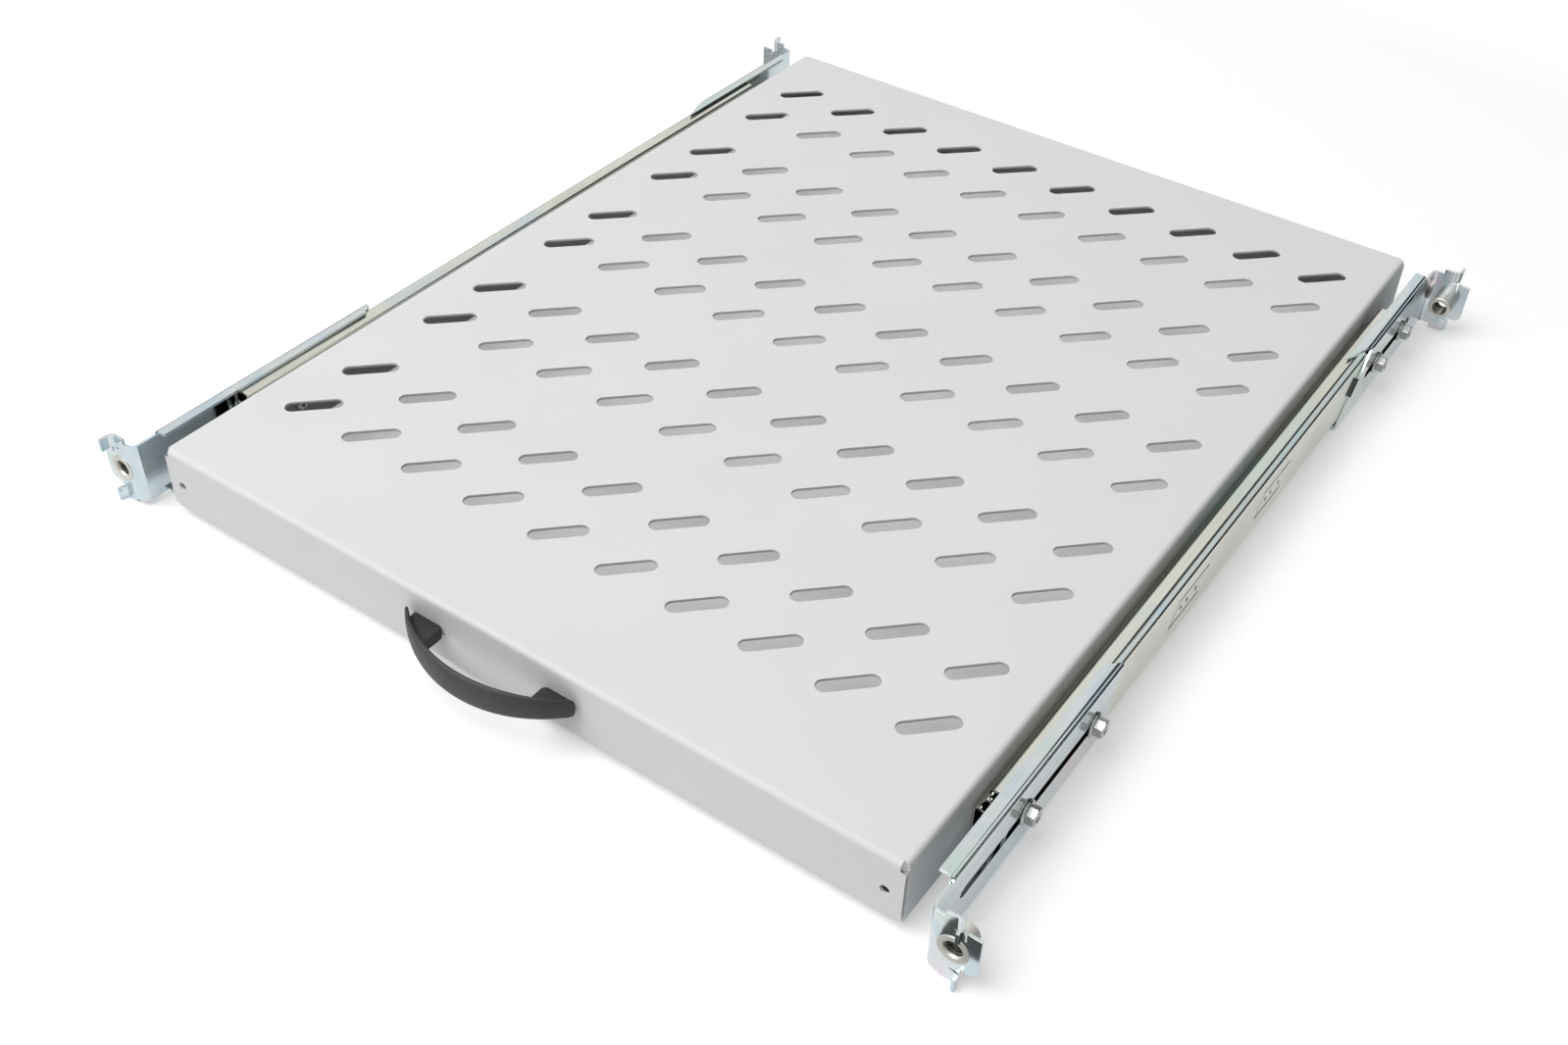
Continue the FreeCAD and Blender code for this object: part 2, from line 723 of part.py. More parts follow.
def main():
    os.makedirs("parts", exist_ok=True)
    parts = {"tray": make_tray(), "handle": make_handle()}
    for name, shape in side_parts().items():
        parts[name + "_right"] = shape
        parts[name + "_left"] = left_copy(shape)
    for name, shape in parts.items():
        shape.exportStep("parts/" + name + ".step")


main()
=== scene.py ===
import json
import math

import bmesh
import bpy
import numpy as np
from mathutils import Matrix, Vector

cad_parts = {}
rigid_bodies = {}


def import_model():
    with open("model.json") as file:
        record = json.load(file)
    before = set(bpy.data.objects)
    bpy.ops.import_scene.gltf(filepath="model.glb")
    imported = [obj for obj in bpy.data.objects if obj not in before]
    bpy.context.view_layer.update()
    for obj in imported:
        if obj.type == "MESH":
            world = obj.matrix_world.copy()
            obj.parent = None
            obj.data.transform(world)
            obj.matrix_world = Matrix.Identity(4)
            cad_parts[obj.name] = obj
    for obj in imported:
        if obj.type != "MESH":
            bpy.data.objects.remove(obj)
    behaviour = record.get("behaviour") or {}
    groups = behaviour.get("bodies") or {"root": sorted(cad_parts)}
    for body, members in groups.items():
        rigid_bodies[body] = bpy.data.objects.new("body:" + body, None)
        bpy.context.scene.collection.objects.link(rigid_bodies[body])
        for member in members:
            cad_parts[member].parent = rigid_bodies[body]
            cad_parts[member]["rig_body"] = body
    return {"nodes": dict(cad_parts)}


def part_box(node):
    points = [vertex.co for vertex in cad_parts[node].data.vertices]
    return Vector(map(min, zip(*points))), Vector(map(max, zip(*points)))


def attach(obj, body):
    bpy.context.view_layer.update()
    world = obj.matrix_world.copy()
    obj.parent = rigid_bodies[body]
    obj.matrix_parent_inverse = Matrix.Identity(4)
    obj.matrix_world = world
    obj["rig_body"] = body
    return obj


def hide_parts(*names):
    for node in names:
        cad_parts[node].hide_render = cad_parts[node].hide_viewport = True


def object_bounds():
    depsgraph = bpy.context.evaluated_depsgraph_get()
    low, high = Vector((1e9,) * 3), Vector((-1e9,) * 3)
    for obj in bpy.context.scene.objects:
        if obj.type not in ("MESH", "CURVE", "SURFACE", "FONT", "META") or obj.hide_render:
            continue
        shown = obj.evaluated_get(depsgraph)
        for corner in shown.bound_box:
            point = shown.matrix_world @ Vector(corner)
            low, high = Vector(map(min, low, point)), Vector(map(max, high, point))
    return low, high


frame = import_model()
cad_low, cad_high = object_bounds()

bl_info = {
    "name": "Sliding Rack Shelf Looks",
    "version": (1, 0, 0),
    "blender": (4, 5, 0),
    "location": "3D View > Sidebar > Rack Shelf",
    "description": "Finishes, fine pieces and studio of a sliding shelf for a 19-inch rack",
    "category": "Object",
}

# Millimetres are written as such and turned into metres once
MM = 0.001
SIDES = ("right", "left")
ENDS = ("front", "rear")
CORNERS = [(end, side) for side in SIDES for end in ENDS]
BLACK = (0.0, 0.0, 0.0)
WHITE = (1.0, 1.0, 1.0)
SLOT_COLUMNS = 10
SLOT_PAIRS = 5
BEND_STEPS = 8


def length(name, description, millimetres):
    """Size property that is shown in scene units."""
    return bpy.props.FloatProperty(name=name, description=description, default=millimetres * MM,
                                   min=0.0, precision=5, unit="LENGTH")


def tint(name, description, red, green, blue):
    """Colour property in linear values."""
    return bpy.props.FloatVectorProperty(name=name, description=description, default=(red, green, blue),
                                         min=0.0, max=1.0, size=3, subtype="COLOR")


class ShelfSizes(bpy.types.PropertyGroup):
    """Sizes of the pieces that are drawn finer than the frame."""
    sheet: length("Tray sheet", "Thickness of the tray's sheet steel", 1.5)
    bend: length("Tray bend", "Outside radius of the tray's bends", 2.5)
    lip: length("Tray lip", "Depth of the turned lip under the front and back flanges", 12.0)
    relief: length("Corner relief", "Side of the square cut at each top corner", 2.6)
    seam: length("Corner seam", "Gap between the side flanges and the end flanges", 0.6)
    slot_length: length("Slot length", "Overall length of a ventilation slot", 28.0)
    slot_width: length("Slot width", "Width of a ventilation slot", 7.6)
    slot_column_pitch: length("Slot column pitch", "Distance between slot columns", 39.0)
    slot_pair_gap: length("Slot pair gap", "Distance between the two rows of a pair", 38.0)
    slot_pair_pitch: length("Slot pair pitch", "Distance between pairs of rows", 95.0)
    slot_back_margin: length("Slot back margin", "Distance from the back edge to the last row", 48.8)
    slot_rim: length("Slot rim", "Radius of the painted rim of a slot", 0.2)
    front_hole: length("Front hole", "Diameter of the two small holes in the front flange", 4.5)
    front_hole_inset: length("Front hole inset", "Distance of a front hole from the tray's side", 8.3)
    front_hole_drop: length("Front hole drop", "Distance of a front hole below the tray's top", 19.3)
    grip_thickness: length("Grip thickness", "Thickness of the handle's bow at its crown", 4.9)
    grip_tip: length("Grip tip", "Thickness of the handle's bow at its tips", 1.8)
    grip_tip_height: length("Grip tip height", "Height of the handle's bow at its tips", 9.4)
    grip_tip_gap: length("Grip tip gap", "Gap between the bow's tips and the tray", 1.6)
    foot_inset: length("Foot inset", "Distance of a handle foot from the bow's tip", 2.9)
    foot_width: length("Foot width", "Width of a handle foot", 16.5)
    foot_height: length("Foot height", "Height of a handle foot", 6.0)
    foot_drop: length("Foot drop", "Distance of a foot's middle below the bow's middle", 3.0)
    foot_round: length("Foot round", "Radius of a foot's inner corner at the tray", 2.5)
    edge_round: length("Sheet edge", "Radius of the sheared edges of the plated sheets", 0.10)
    thread_pitch: length("Thread pitch", "Pitch of the threaded inserts", 1.25)
    thread_depth: length("Thread depth", "Depth of the insert's thread", 0.6)
    ball: length("Ball", "Diameter of the slide balls", 3.5)
    screw_head: length("Screw head", "Diameter of the pan-head screws inside the tray", 7.0)


class ShelfColours(bpy.types.PropertyGroup):
    """Colours of the finishes."""
    paint: tint("Paint", "Light grey powder coat of the tray", 0.740, 0.742, 0.745)
    plastic: tint("Plastic", "Moulded handle", 0.036, 0.036, 0.037)
    zinc_blue: tint("Blue zinc", "Bluish tone of the bracket plating", 0.52, 0.62, 0.67)
    zinc_white: tint("White zinc", "Bright tone of the bracket plating", 0.64, 0.67, 0.68)
    zinc_pink: tint("Pink zinc", "Rosy sheen of the bracket plating", 0.68, 0.59, 0.65)
    zinc_green: tint("Green zinc", "Greenish sheen of the plating", 0.53, 0.65, 0.60)
    slide_cream: tint("Slide zinc", "Cream tone of the slide plating", 0.60, 0.595, 0.53)
    bolt: tint("Bolt plating", "Silver tone of bolts", 0.44, 0.45, 0.43)
    insert: tint("Insert plating", "Pale cream tone of the inserts", 0.66, 0.65, 0.60)
    thread: tint("Insert thread", "Oiled steel of the inserts' threads", 0.16, 0.15, 0.14)
    floor: tint("Floor", "Studio floor and backdrop", 0.74, 0.74, 0.74)


def sizes():
    return bpy.context.scene.shelf_sizes


def colours():
    return bpy.context.scene.shelf_colours


# Surfaces as whole arrays

def surface(points, wrap=False, flip=False):
    """Quads over a grid of points (rows, columns, xyz), or over a stack of such grids."""
    stack = points.reshape((-1,) + points.shape[-3:])
    count, rows, columns = stack.shape[:3]
    index = np.arange(rows * columns).reshape(rows, columns)
    if wrap:
        index = np.concatenate([index, index[:, :1]], axis=1)
    quads = np.stack([index[:-1, :-1], index[:-1, 1:], index[1:, 1:], index[1:, :-1]], axis=-1)
    quads = quads.reshape(-1, 4)
    if flip:
        quads = quads[:, ::-1]
    steps = np.arange(count)[:, None, None] * (rows * columns)
    return stack.reshape(-1, 3), (quads + steps).reshape(-1, 4)


def mirrored(shells, axis, about=0.0):
    """Shells reflected across a plane square to an axis, with their faces turned to stay outward."""
    factor = np.ones(3)
    factor[axis] = -1.0
    shift = np.zeros(3)
    shift[axis] = 2.0 * about
    return [(points * factor + shift, quads[:, ::-1]) for points, quads in shells]


def moved(shells, x=0.0, y=0.0, z=0.0):
    """Shells shifted along the three axes."""
    return [(points + np.array([x, y, z]), quads) for points, quads in shells]


def turned(shells, column_x, column_y, column_z):
    """Shells carried into a frame whose axes are the three given directions."""
    axes = np.array([column_x, column_y, column_z], float)
    return [(points @ axes, quads) for points, quads in shells]


def full_turn(steps):
    """Angles of a whole turn in even steps, without the last, which is the first again."""
    return np.linspace(0.0, 2.0 * np.pi, steps, endpoint=False)


def ring_points(radius, turn, height):
    """Points about +Z: radius times cosine and sine of the turn, at the height, broadcast together."""
    radius, turn, height = np.broadcast_arrays(radius, turn, height)
    return np.stack([radius * np.cos(turn), radius * np.sin(turn), height], axis=-1)


def revolved(profile, steps):
    """Surface of revolution about +Z from a profile of (radius, height)."""
    radius, height = np.asarray(profile, float).T
    return surface(ring_points(radius[:, None], full_turn(steps), height[:, None]), wrap=True)


def arc(centre_a, centre_b, radius, start, end, steps):
    """Points of a circular arc, angles in degrees from the first axis towards the second."""
    turn = np.radians(np.linspace(start, end, steps + 1))
    return np.stack([centre_a + radius * np.cos(turn), centre_b + radius * np.sin(turn)], axis=1)


# Putting a piece into the scene

def merge_points(mesh, distance, flat_angle=None):
    """Merges coincident points and, if an angle is given, neighbouring faces that turn less than that."""
    work = bmesh.new()
    work.from_mesh(mesh)
    bmesh.ops.remove_doubles(work, verts=work.verts, dist=distance)
    if flat_angle is not None:
        bmesh.ops.dissolve_limit(work, angle_limit=flat_angle, verts=work.verts, edges=work.edges)
    work.to_mesh(mesh)
    work.free()


def mesh_of(name, shells):
    """Mesh from joined shells, with coincident points of seams and poles merged."""
    offsets = np.cumsum([0] + [len(points) for points, quads in shells[:-1]])
    quads = np.concatenate([quads + offset for (points, quads), offset in zip(shells, offsets)])
    points = np.concatenate([points for points, quads in shells])
    mesh = bpy.data.meshes.new(name)
    mesh.vertices.add(len(points))
    mesh.vertices.foreach_set("co", points.astype(np.float32).ravel())
    mesh.loops.add(quads.size)
    mesh.loops.foreach_set("vertex_index", quads.astype(np.int32).ravel())
    mesh.polygons.add(len(quads))
    mesh.polygons.foreach_set("loop_start", np.arange(0, quads.size, 4, dtype=np.int32))
    mesh.update(calc_edges=True)
    merge_points(mesh, 0.001 * MM)
    return mesh


def add_object(name, data):
    """Object in the scene for a mesh, lamp or camera."""
    item = bpy.data.objects.new(name, data)
    bpy.context.scene.collection.objects.link(item)
    return item


def place_piece(mesh, finish, body, nodes=(), crease=38.0):
    """Object for a mesh: smooth with sharp creases, finished, riding on its body."""
    mesh.shade_smooth()
    mesh.set_sharp_from_angle(angle=math.radians(crease))
    mesh.materials.clear()
    mesh.materials.append(finish)
    piece = add_object(mesh.name, mesh)
    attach(piece, body)
    if nodes:
        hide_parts(*nodes)
    return piece


def edge_rounded(node, finish):
    """Merged copy of a frame node whose sheared edges are rounded by a narrow bevel."""
    source = frame["nodes"][node]
    mesh = source.data.copy()
    mesh.name = node + "_rounded"
    merge_points(mesh, 0.002 * MM, flat_angle=math.radians(0.5))
    if "custom_normal" in mesh.attributes:
        mesh.attributes.remove(mesh.attributes["custom_normal"])
    piece = place_piece(mesh, finish, source["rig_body"], [node])
    bevel = piece.modifiers.new("edge_rounding", "BEVEL")
    bevel.width = sizes().edge_round
    bevel.segments = 2
    bevel.limit_method = "ANGLE"
    bevel.angle_limit = math.radians(60.0)
    bevel.use_clamp_overlap = False
    bevel.harden_normals = True


# Finishes

def new_finish(name):
    """Material with its node tree and its shader."""
    material = bpy.data.materials.new(name)
    material.use_nodes = True
    tree = material.node_tree
    return material, tree, tree.nodes["Principled BSDF"]


def object_place(tree):
    """Object coordinates, which are those of the frame."""
    return tree.nodes.new("ShaderNodeTexCoord").outputs["Object"]


def set_sockets(tree, node, values):
    """Sets a node's inputs, by name or number, to plain values or to the outputs of other nodes."""
    for key, value in values.items():
        if isinstance(value, bpy.types.NodeSocket):
            tree.links.new(value, node.inputs[key])
        else:
            node.inputs[key].default_value = value
    return node


def new_node(tree, kind, values):
    """New node of a kind with its inputs set."""
    return set_sockets(tree, tree.nodes.new(kind), values)


def calculated(tree, operation, *values, kind="ShaderNodeMath"):
    """Result of a maths node on its values in order."""
    node = tree.nodes.new(kind)
    node.operation = operation
    return set_sockets(tree, node, dict(enumerate(values))).outputs["Value"]


def noise(tree, scale, detail=2.0, stretch=(1.0, 1.0, 1.0), distortion=0.0):
    """Noise value on object coordinates, scale in cycles per metre, drawn out along an axis by stretch."""
    mapping = new_node(tree, "ShaderNodeMapping", {"Vector": object_place(tree), "Scale": stretch})
    texture = new_node(tree, "ShaderNodeTexNoise", {"Vector": mapping.outputs["Vector"], "Scale": scale,
                                                    "Detail": detail, "Distortion": distortion})
    return texture.outputs["Fac"]


def ramp(tree, factor, stops):
    """Colour along a list of (position, colour) stops."""
    node = tree.nodes.new("ShaderNodeValToRGB")
    elements = node.color_ramp.elements
    elements.remove(elements[1])
    elements[0].position, first = stops[0]
    elements[0].color = (*first, 1.0)
    for position, colour in stops[1:]:
        elements.new(position).color = (*colour, 1.0)
    tree.links.new(factor, node.inputs["Fac"])
    return node.outputs["Color"]


def spread(tree, value, low, high, start=0.3, end=0.7):
    """Value carried from a span, the middle of a noise unless another is given, to a range."""
    values = {"Value": value, "From Min": start, "From Max": end, "To Min": low, "To Max": high}
    return new_node(tree, "ShaderNodeMapRange", values).outputs["Result"]


def bump(tree, height, strength, distance, under=None):
    """Normal from a height, over another normal if one is given."""
    values = {"Height": height, "Strength": strength, "Distance": distance}
    if under is not None:
        values["Normal"] = under
    return new_node(tree, "ShaderNodeBump", values).outputs["Normal"]


def multiplied(tree, first, second):
    """Two colours multiplied. The colour sockets of a mix node are 6 and 7 in and 2 out."""
    node = tree.nodes.new("ShaderNodeMix")
    node.data_type = "RGBA"
    node.blend_type = "MULTIPLY"
    return set_sockets(tree, node, {"Factor": 1.0, 6: first, 7: second}).outputs[2]


def shade(colour, factor):
    """Colour made darker or lighter by a factor."""
    return tuple(channel * factor for channel in colour)


def paint_finish():
    """Powder coat: fine orange peel, a trace of tone and gloss variation."""
    material, tree, shader = new_finish("shelf_paint_coat")
    base = colours().paint
    tone = ramp(tree, noise(tree, scale=14.0, detail=3.0), [(0.3, shade(base, 0.975)), (0.7, base)])
    gloss = spread(tree, noise(tree, scale=160.0, detail=3.0), low=0.54, high=0.64)
    peel = bump(tree, noise(tree, scale=900.0), strength=0.10, distance=0.02 * MM)
    grain = bump(tree, noise(tree, scale=3200.0, detail=1.0), strength=0.08, distance=0.01 * MM, under=peel)
    set_sockets(tree, shader, {"Base Color": tone, "Roughness": gloss, "Normal": grain,
                               "Specular IOR Level": 0.22})
    return material


def distance_from_middle(tree, axis):
    """Distance from the plane through the origin that is square to an axis."""
    split = new_node(tree, "ShaderNodeSeparateXYZ", {"Vector": object_place(tree)})
    return calculated(tree, "ABSOLUTE", split.outputs[axis])


def painted_shade_along_axis(tree, colour, axis, left, near, far):
    """Painted shade: colour darkened along an axis, from the share left at one distance to its own tone at
    another.
    """
    unshaded = spread(tree, distance_from_middle(tree, axis), left, 1.0, near, far)
    return multiplied(tree, colour, ramp(tree, unshaded, [(0.0, BLACK), (1.0, WHITE)]))


def painted_slot_wall_shade(tree, colour, middle, half):
    """Painted shade: colour with the cut walls of the adjusting slots darkened nearly to black. They lie
    within a box on either side, where each distance from the frame's middle is within half of the box's
    middle."""
    inside = None
    for axis, centre, reach in zip("XYZ", middle, half):
        layer = calculated(tree, "COMPARE", distance_from_middle(tree, axis), centre, reach)
        inside = calculated(tree, "MULTIPLY", inside, layer) if inside else layer
    # Painted shade: the slot walls are darkened to about a tenth of their tone.
    return multiplied(tree, colour, ramp(tree, inside, [(0.0, WHITE), (1.0, (0.10, 0.10, 0.11))]))


def plated_finish(name, stops, patch_scale, rough, streak, painted_shade=None):
    """Bright zinc plating: drifting passivation tints, drawn streaks along the sheet, small spangle."""
    material, tree, shader = new_finish(name)
    patches = noise(tree, patch_scale, detail=3.0, stretch=(1.0, 0.35, 1.0), distortion=1.2)
    lines = noise(tree, scale=900.0, detail=4.0, stretch=(1.0, streak, 1.0))
    worn = ramp(tree, lines, [(0.25, shade(WHITE, 0.92)), (0.65, WHITE)])
    colour = multiplied(tree, ramp(tree, patches, stops), worn)
    # Painted shade, where a caller gives it, darkens the colour.
    if painted_shade:
        colour = painted_shade(tree, colour)
    drawn = bump(tree, lines, strength=0.06, distance=0.02 * MM)
    spangle = bump(tree, noise(tree, scale=260.0), strength=0.04, distance=0.04 * MM, under=drawn)
    set_sockets(tree, shader, {"Base Color": colour, "Roughness": spread(tree, lines, *rough),
                               "Normal": spangle, "Metallic": 1.0})
    return material


def shaded_finish(name, tone, shares, patch_scale, rough, streak=1.0):
    """Plating in shades of one tone, from (position, factor) pairs."""
    stops = [(position, shade(tone, factor)) for position, factor in shares]
    return plated_finish(name, stops, patch_scale, rough, streak)


def bracket_finish():
    """Bluish plating with painted shade on the slot walls, which lie within the web's thickness and clear of
    the brackets' end bends.
    """
    tone = colours()
    low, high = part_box("tray")
    web_offset, web_half = 0.85 * MM, 0.68 * MM
    bend_clearance, slot_half = 8.0 * MM, 4.0 * MM
    middle = (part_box("outer_rail_right")[1].x + web_offset, (low.y + high.y) / 2.0, 0.0)
    half = (web_half, (high.y - low.y) / 2.0 - bend_clearance, slot_half)
    stops = [(0.30, tone.zinc_green), (0.42, tone.zinc_white), (0.52, tone.zinc_blue),
             (0.60, tone.zinc_white), (0.72, tone.zinc_pink)]
    return plated_finish("bracket_blue_zinc", stops, patch_scale=26.0, rough=(0.08, 0.15), streak=0.03,
                         painted_shade=lambda tree, colour: painted_slot_wall_shade(tree, colour, middle, half))


def slide_finish(name, painted_shade=None):
    """Cream plating that drifts to green and blue, with painted shade where a caller gives it."""
    tone = colours()
    stops = [(0.30, tone.zinc_green), (0.45, tone.slide_cream), (0.58, shade(tone.slide_cream, 1.12)),
             (0.72, tone.zinc_blue)]
    return plated_finish(name, stops, patch_scale=16.0, rough=(0.08, 0.15), streak=0.02, painted_shade=painted_shade)


def fastener_finish():
    """Silver plating with fine turning marks and faint handling marks."""
    return shaded_finish("fastener_silver_zinc", colours().bolt, [(0.3, 0.86), (0.55, 1.0), (0.75, 1.08)],
                         patch_scale=180.0, rough=(0.18, 0.32))


def insert_finish():
    """Pale matte plating of the pressed-in nuts."""
    return shaded_finish("insert_cream_zinc", colours().insert, [(0.3, 0.90), (0.6, 1.0)],
                         patch_scale=140.0, rough=(0.42, 0.58))


def thread_finish():
    """Dark oiled steel of the bores."""
    return shaded_finish("insert_oiled_thread", colours().thread, [(0.3, 0.7), (0.7, 1.0)],
                         patch_scale=300.0, rough=(0.20, 0.34))


def cage_finish():
    """Bright rolled steel strip of the ball cages."""
    steel = (0.62, 0.60, 0.56)
    return shaded_finish("cage_bright_steel", steel, [(0.3, 0.8), (0.7, 1.0)],
                         patch_scale=60.0, rough=(0.22, 0.36), streak=0.05)


def ball_finish():
    """Polished bearing balls under a thin film of grease."""
    material, tree, shader = new_finish("ball_polished_steel")
    film = noise(tree, scale=500.0)
    tone = ramp(tree, film, [(0.3, (0.50, 0.50, 0.48)), (0.7, (0.66, 0.66, 0.65))])
    gloss = spread(tree, film, low=0.05, high=0.16)
    set_sockets(tree, shader, {"Base Color": tone, "Roughness": gloss, "Metallic": 1.0})
    return material


def plastic_finish(name, base, rough, painted_shade=None):
    """Moulded plastic with a fine spark-eroded grain."""
    material, tree, shader = new_finish(name)
    patches = noise(tree, scale=90.0, detail=3.0)
    colour = ramp(tree, patches, [(0.3, shade(base, 0.85)), (0.7, shade(base, 1.2))])
    # Painted shade, where a caller gives it, darkens the colour.
    if painted_shade:
        colour = painted_shade(tree, colour)
    gloss = spread(tree, noise(tree, scale=700.0, detail=3.0), *rough)
    grain = bump(tree, noise(tree, scale=2600.0), strength=0.22, distance=0.03 * MM)
    set_sockets(tree, shader, {"Base Color": colour, "Roughness": gloss, "Normal": grain})
    return material


# Tray

def stadium(half, count):
    """Centres and directions of a rounded slot's outline, which is centre plus radius times direction.
    Each end takes a third of the points and each straight a sixth; a round hole spreads them evenly."""
    place = np.arange(count) / count
    knots = np.array([0.0, 1.0, 2.0, 4.0, 5.0, 6.0]) / 6.0
    if half == 0.0:
        turn = 2.0 * np.pi * place
    else:
        turn = np.interp(place, knots, np.pi * np.array([0.0, 0.5, 0.5, 1.5, 1.5, 2.0]))
    centre = np.stack([np.interp(place, knots, half * np.array([1.0, 1.0, -1.0, -1.0, 1.0, 1.0])),
                       np.zeros(count)], axis=1)
    direction = np.stack([np.cos(turn), np.sin(turn)], axis=1)
    return centre, direction


def tile_edge(low, high, count):
    """Rectangle outlines from their corners: a quarter of the points on each side, the first point at the
    high corner."""
    place = np.arange(count) / count
    quarters = np.linspace(0.0, 1.0, 5)
    share_u = np.interp(place, quarters, [1.0, 0.0, 0.0, 1.0, 1.0])
    share_v = np.interp(place, quarters, [1.0, 1.0, 0.0, 0.0, 1.0])
    share = np.stack([share_u, share_v], axis=1)
    return low[:, None, :] + (high - low)[:, None, :] * share


def holed_tiles(centres, low, high, half, radius, rim, sheet, count=48):
    """Tiles of sheet with one rounded hole each: rings run from the tile's outer face over the hole's
    rounded rim, down the hole's wall and out to the tile's inner face. Returns u, v and height."""
    centre, direction = stadium(half, count)
    slant = math.sqrt(0.5)
    turn = np.array([[slant, slant], [-slant, slant]])
    centre, direction = centre @ turn, direction @ turn
    bend = np.radians(np.linspace(0.0, 90.0, 4))
    spread_out = np.concatenate([[3.0 * rim], rim * (1.0 - np.sin(bend))])
    drop = np.concatenate([[0.0], rim * (np.cos(bend) - 1.0)])
    offset = np.concatenate([spread_out, spread_out[::-1]])
    level = np.concatenate([drop, -sheet - drop[::-1]])
    rings = centre + (radius + offset[:, None, None]) * direction
    points = np.zeros((len(centres), len(offset) + 2, count, 3))
    points[:, 1:-1, :, :2] = centres[:, None, None, :] + rings
    points[:, 1:-1, :, 2] = level[:, None]
    points[:, 0, :, :2] = tile_edge(low, high, count)
    points[:, -1, :, :2] = points[:, 0, :, :2]
    points[:, -1, :, 2] = -sheet
    return points


def slot_rows(back):
    """Depths of the slot rows, in pairs counted from the back edge."""
    size = sizes()
    pairs = np.arange(SLOT_PAIRS)[:, None] * size.slot_pair_pitch
    members = np.arange(2)[None, :] * size.slot_pair_gap
    return np.sort((back - size.slot_back_margin - pairs - members).ravel())


def slotted_top(high):
    """Top sheet: a tile for each slot, each tile reaching halfway to its neighbours."""
    size = sizes()
    rows = slot_rows(high.y)
    columns = (np.arange(SLOT_COLUMNS) - (SLOT_COLUMNS - 1) / 2.0) * size.slot_column_pitch
    between = (rows[1:] + rows[:-1]) / 2.0
    tile = size.slot_pair_pitch / 2.0
    edges = np.concatenate([[between[0] - tile], between, [between[-1] + tile]])
    half_column = size.slot_column_pitch / 2.0
    grid_x, grid_y = np.meshgrid(columns, rows)
    centres = np.stack([grid_x.ravel(), grid_y.ravel()], axis=1)
    near = np.repeat(edges[:-1], len(columns))
    far = np.repeat(edges[1:], len(columns))
    tile_low = np.stack([centres[:, 0] - half_column, near], axis=1)
    tile_high = np.stack([centres[:, 0] + half_column, far], axis=1)
    straight = (size.slot_length - size.slot_width) / 2.0
    points = holed_tiles(centres, tile_low, tile_high, straight, size.slot_width / 2.0, size.slot_rim,
                         size.sheet)
    points[..., 2] += high.z
    return surface(points, wrap=True), tile_low.min(axis=0), tile_high.max(axis=0)


def folded_flange(outer, inner, near, far):
    """Folded strip: outer and inner lines (reach, height) carried from near to far, closed at its ends and
    free edge. Near and far are given for each point of the lines, so that a stretch may stop short."""
    def carried(line):
        points = np.empty((len(line), 2, 3))
        points[:, :, 0] = line[:, None, 0]
        points[:, :, 1] = np.stack([near, far], axis=1)
        points[:, :, 2] = line[:, None, 1]
        return points
    outside, inside = carried(outer), carried(inner)
    near_cap = np.stack([outside[:, 0], inside[:, 0]], axis=1)
    far_cap = np.stack([outside[:, 1], inside[:, 1]], axis=1)
    free_edge = np.stack([outside[-1], inside[-1]], axis=0)
    return [surface(outside, flip=True), surface(inside), surface(near_cap), surface(far_cap, flip=True),
            surface(free_edge, flip=True)]


def side_flange(low, high, flat, size):
    """Right side of the tray: flat margin, bend and wall down to the free edge."""
    reach, drop = high.x - size.bend, high.z - size.bend
    relief_level = drop - size.sheet
    lines = []
    for inset in (0.0, size.sheet):
        bend = arc(reach, drop, size.bend - inset, 90.0, 0.0, BEND_STEPS)
        face = high.x - inset
        wall = [[face, relief_level], [face, relief_level], [face, low.z]]
        lines.append(np.concatenate([[[flat, high.z - inset]], bend, wall]))
    setback = np.full(len(lines[0]), size.relief)
    setback[-2:] = size.sheet + size.seam
    return folded_flange(lines[0], lines[1], low.y + setback, high.y - setback)


def end_flange(low, high, flat_y, flat_x, wall_x, size):
    """Front of the tray, drawn as reach towards the viewer: margin, bend, wall, lower bend and lip."""
    front = -low.y
    reach = front - size.bend
    upper, lower = high.z - size.bend, low.z + size.bend
    relief_level = upper - size.sheet
    lines = []
    for inset in (0.0, size.sheet):
        radius = size.bend - inset
        top = high.z - inset
        face = front - inset
        margin = [[-flat_y, top], [front - size.relief, top], [front - size.relief, top]]
        bend = arc(reach, upper, radius, 90.0, 0.0, BEND_STEPS)
        wall = [[face, relief_level], [face, relief_level], [face, lower]]
        turn = arc(reach, lower, radius, 0.0, -90.0, BEND_STEPS)
        lip = [[front - size.lip, low.z + inset]]
        lines.append(np.concatenate([margin, bend, wall, turn, lip]))
    below_wall = BEND_STEPS + 2
    stops = np.full(len(lines[0]), high.x - size.relief)
    stops[:2] = flat_x
    stops[-below_wall - 2:-below_wall] = wall_x
    stops[-below_wall:] = high.x - size.sheet - size.seam
    strips = folded_flange(lines[0], lines[1], -stops, stops)
    return turned(strips, (0.0, -1.0, 0.0), (1.0, 0.0, 0.0), (0.0, 0.0, 1.0)), relief_level, lower


def front_hole_tiles(low, high, wall_x, relief_level, lower, size):
    """Both ends of the front wall, each with its small round hole."""
    hole = np.array([[high.x - size.front_hole_inset, high.z - size.front_hole_drop]])
    tile_low = np.array([[wall_x, lower]])
    tile_high = np.array([[high.x, relief_level]])
    points = holed_tiles(hole, tile_low, tile_high, 0.0, size.front_hole / 2.0, size.slot_rim / 2.0,
                         size.sheet)
    placed = np.stack([points[..., 0], low.y - points[..., 2], points[..., 1]], axis=-1)
    right = surface(placed, wrap=True)
    return [right] + mirrored([right], 0)


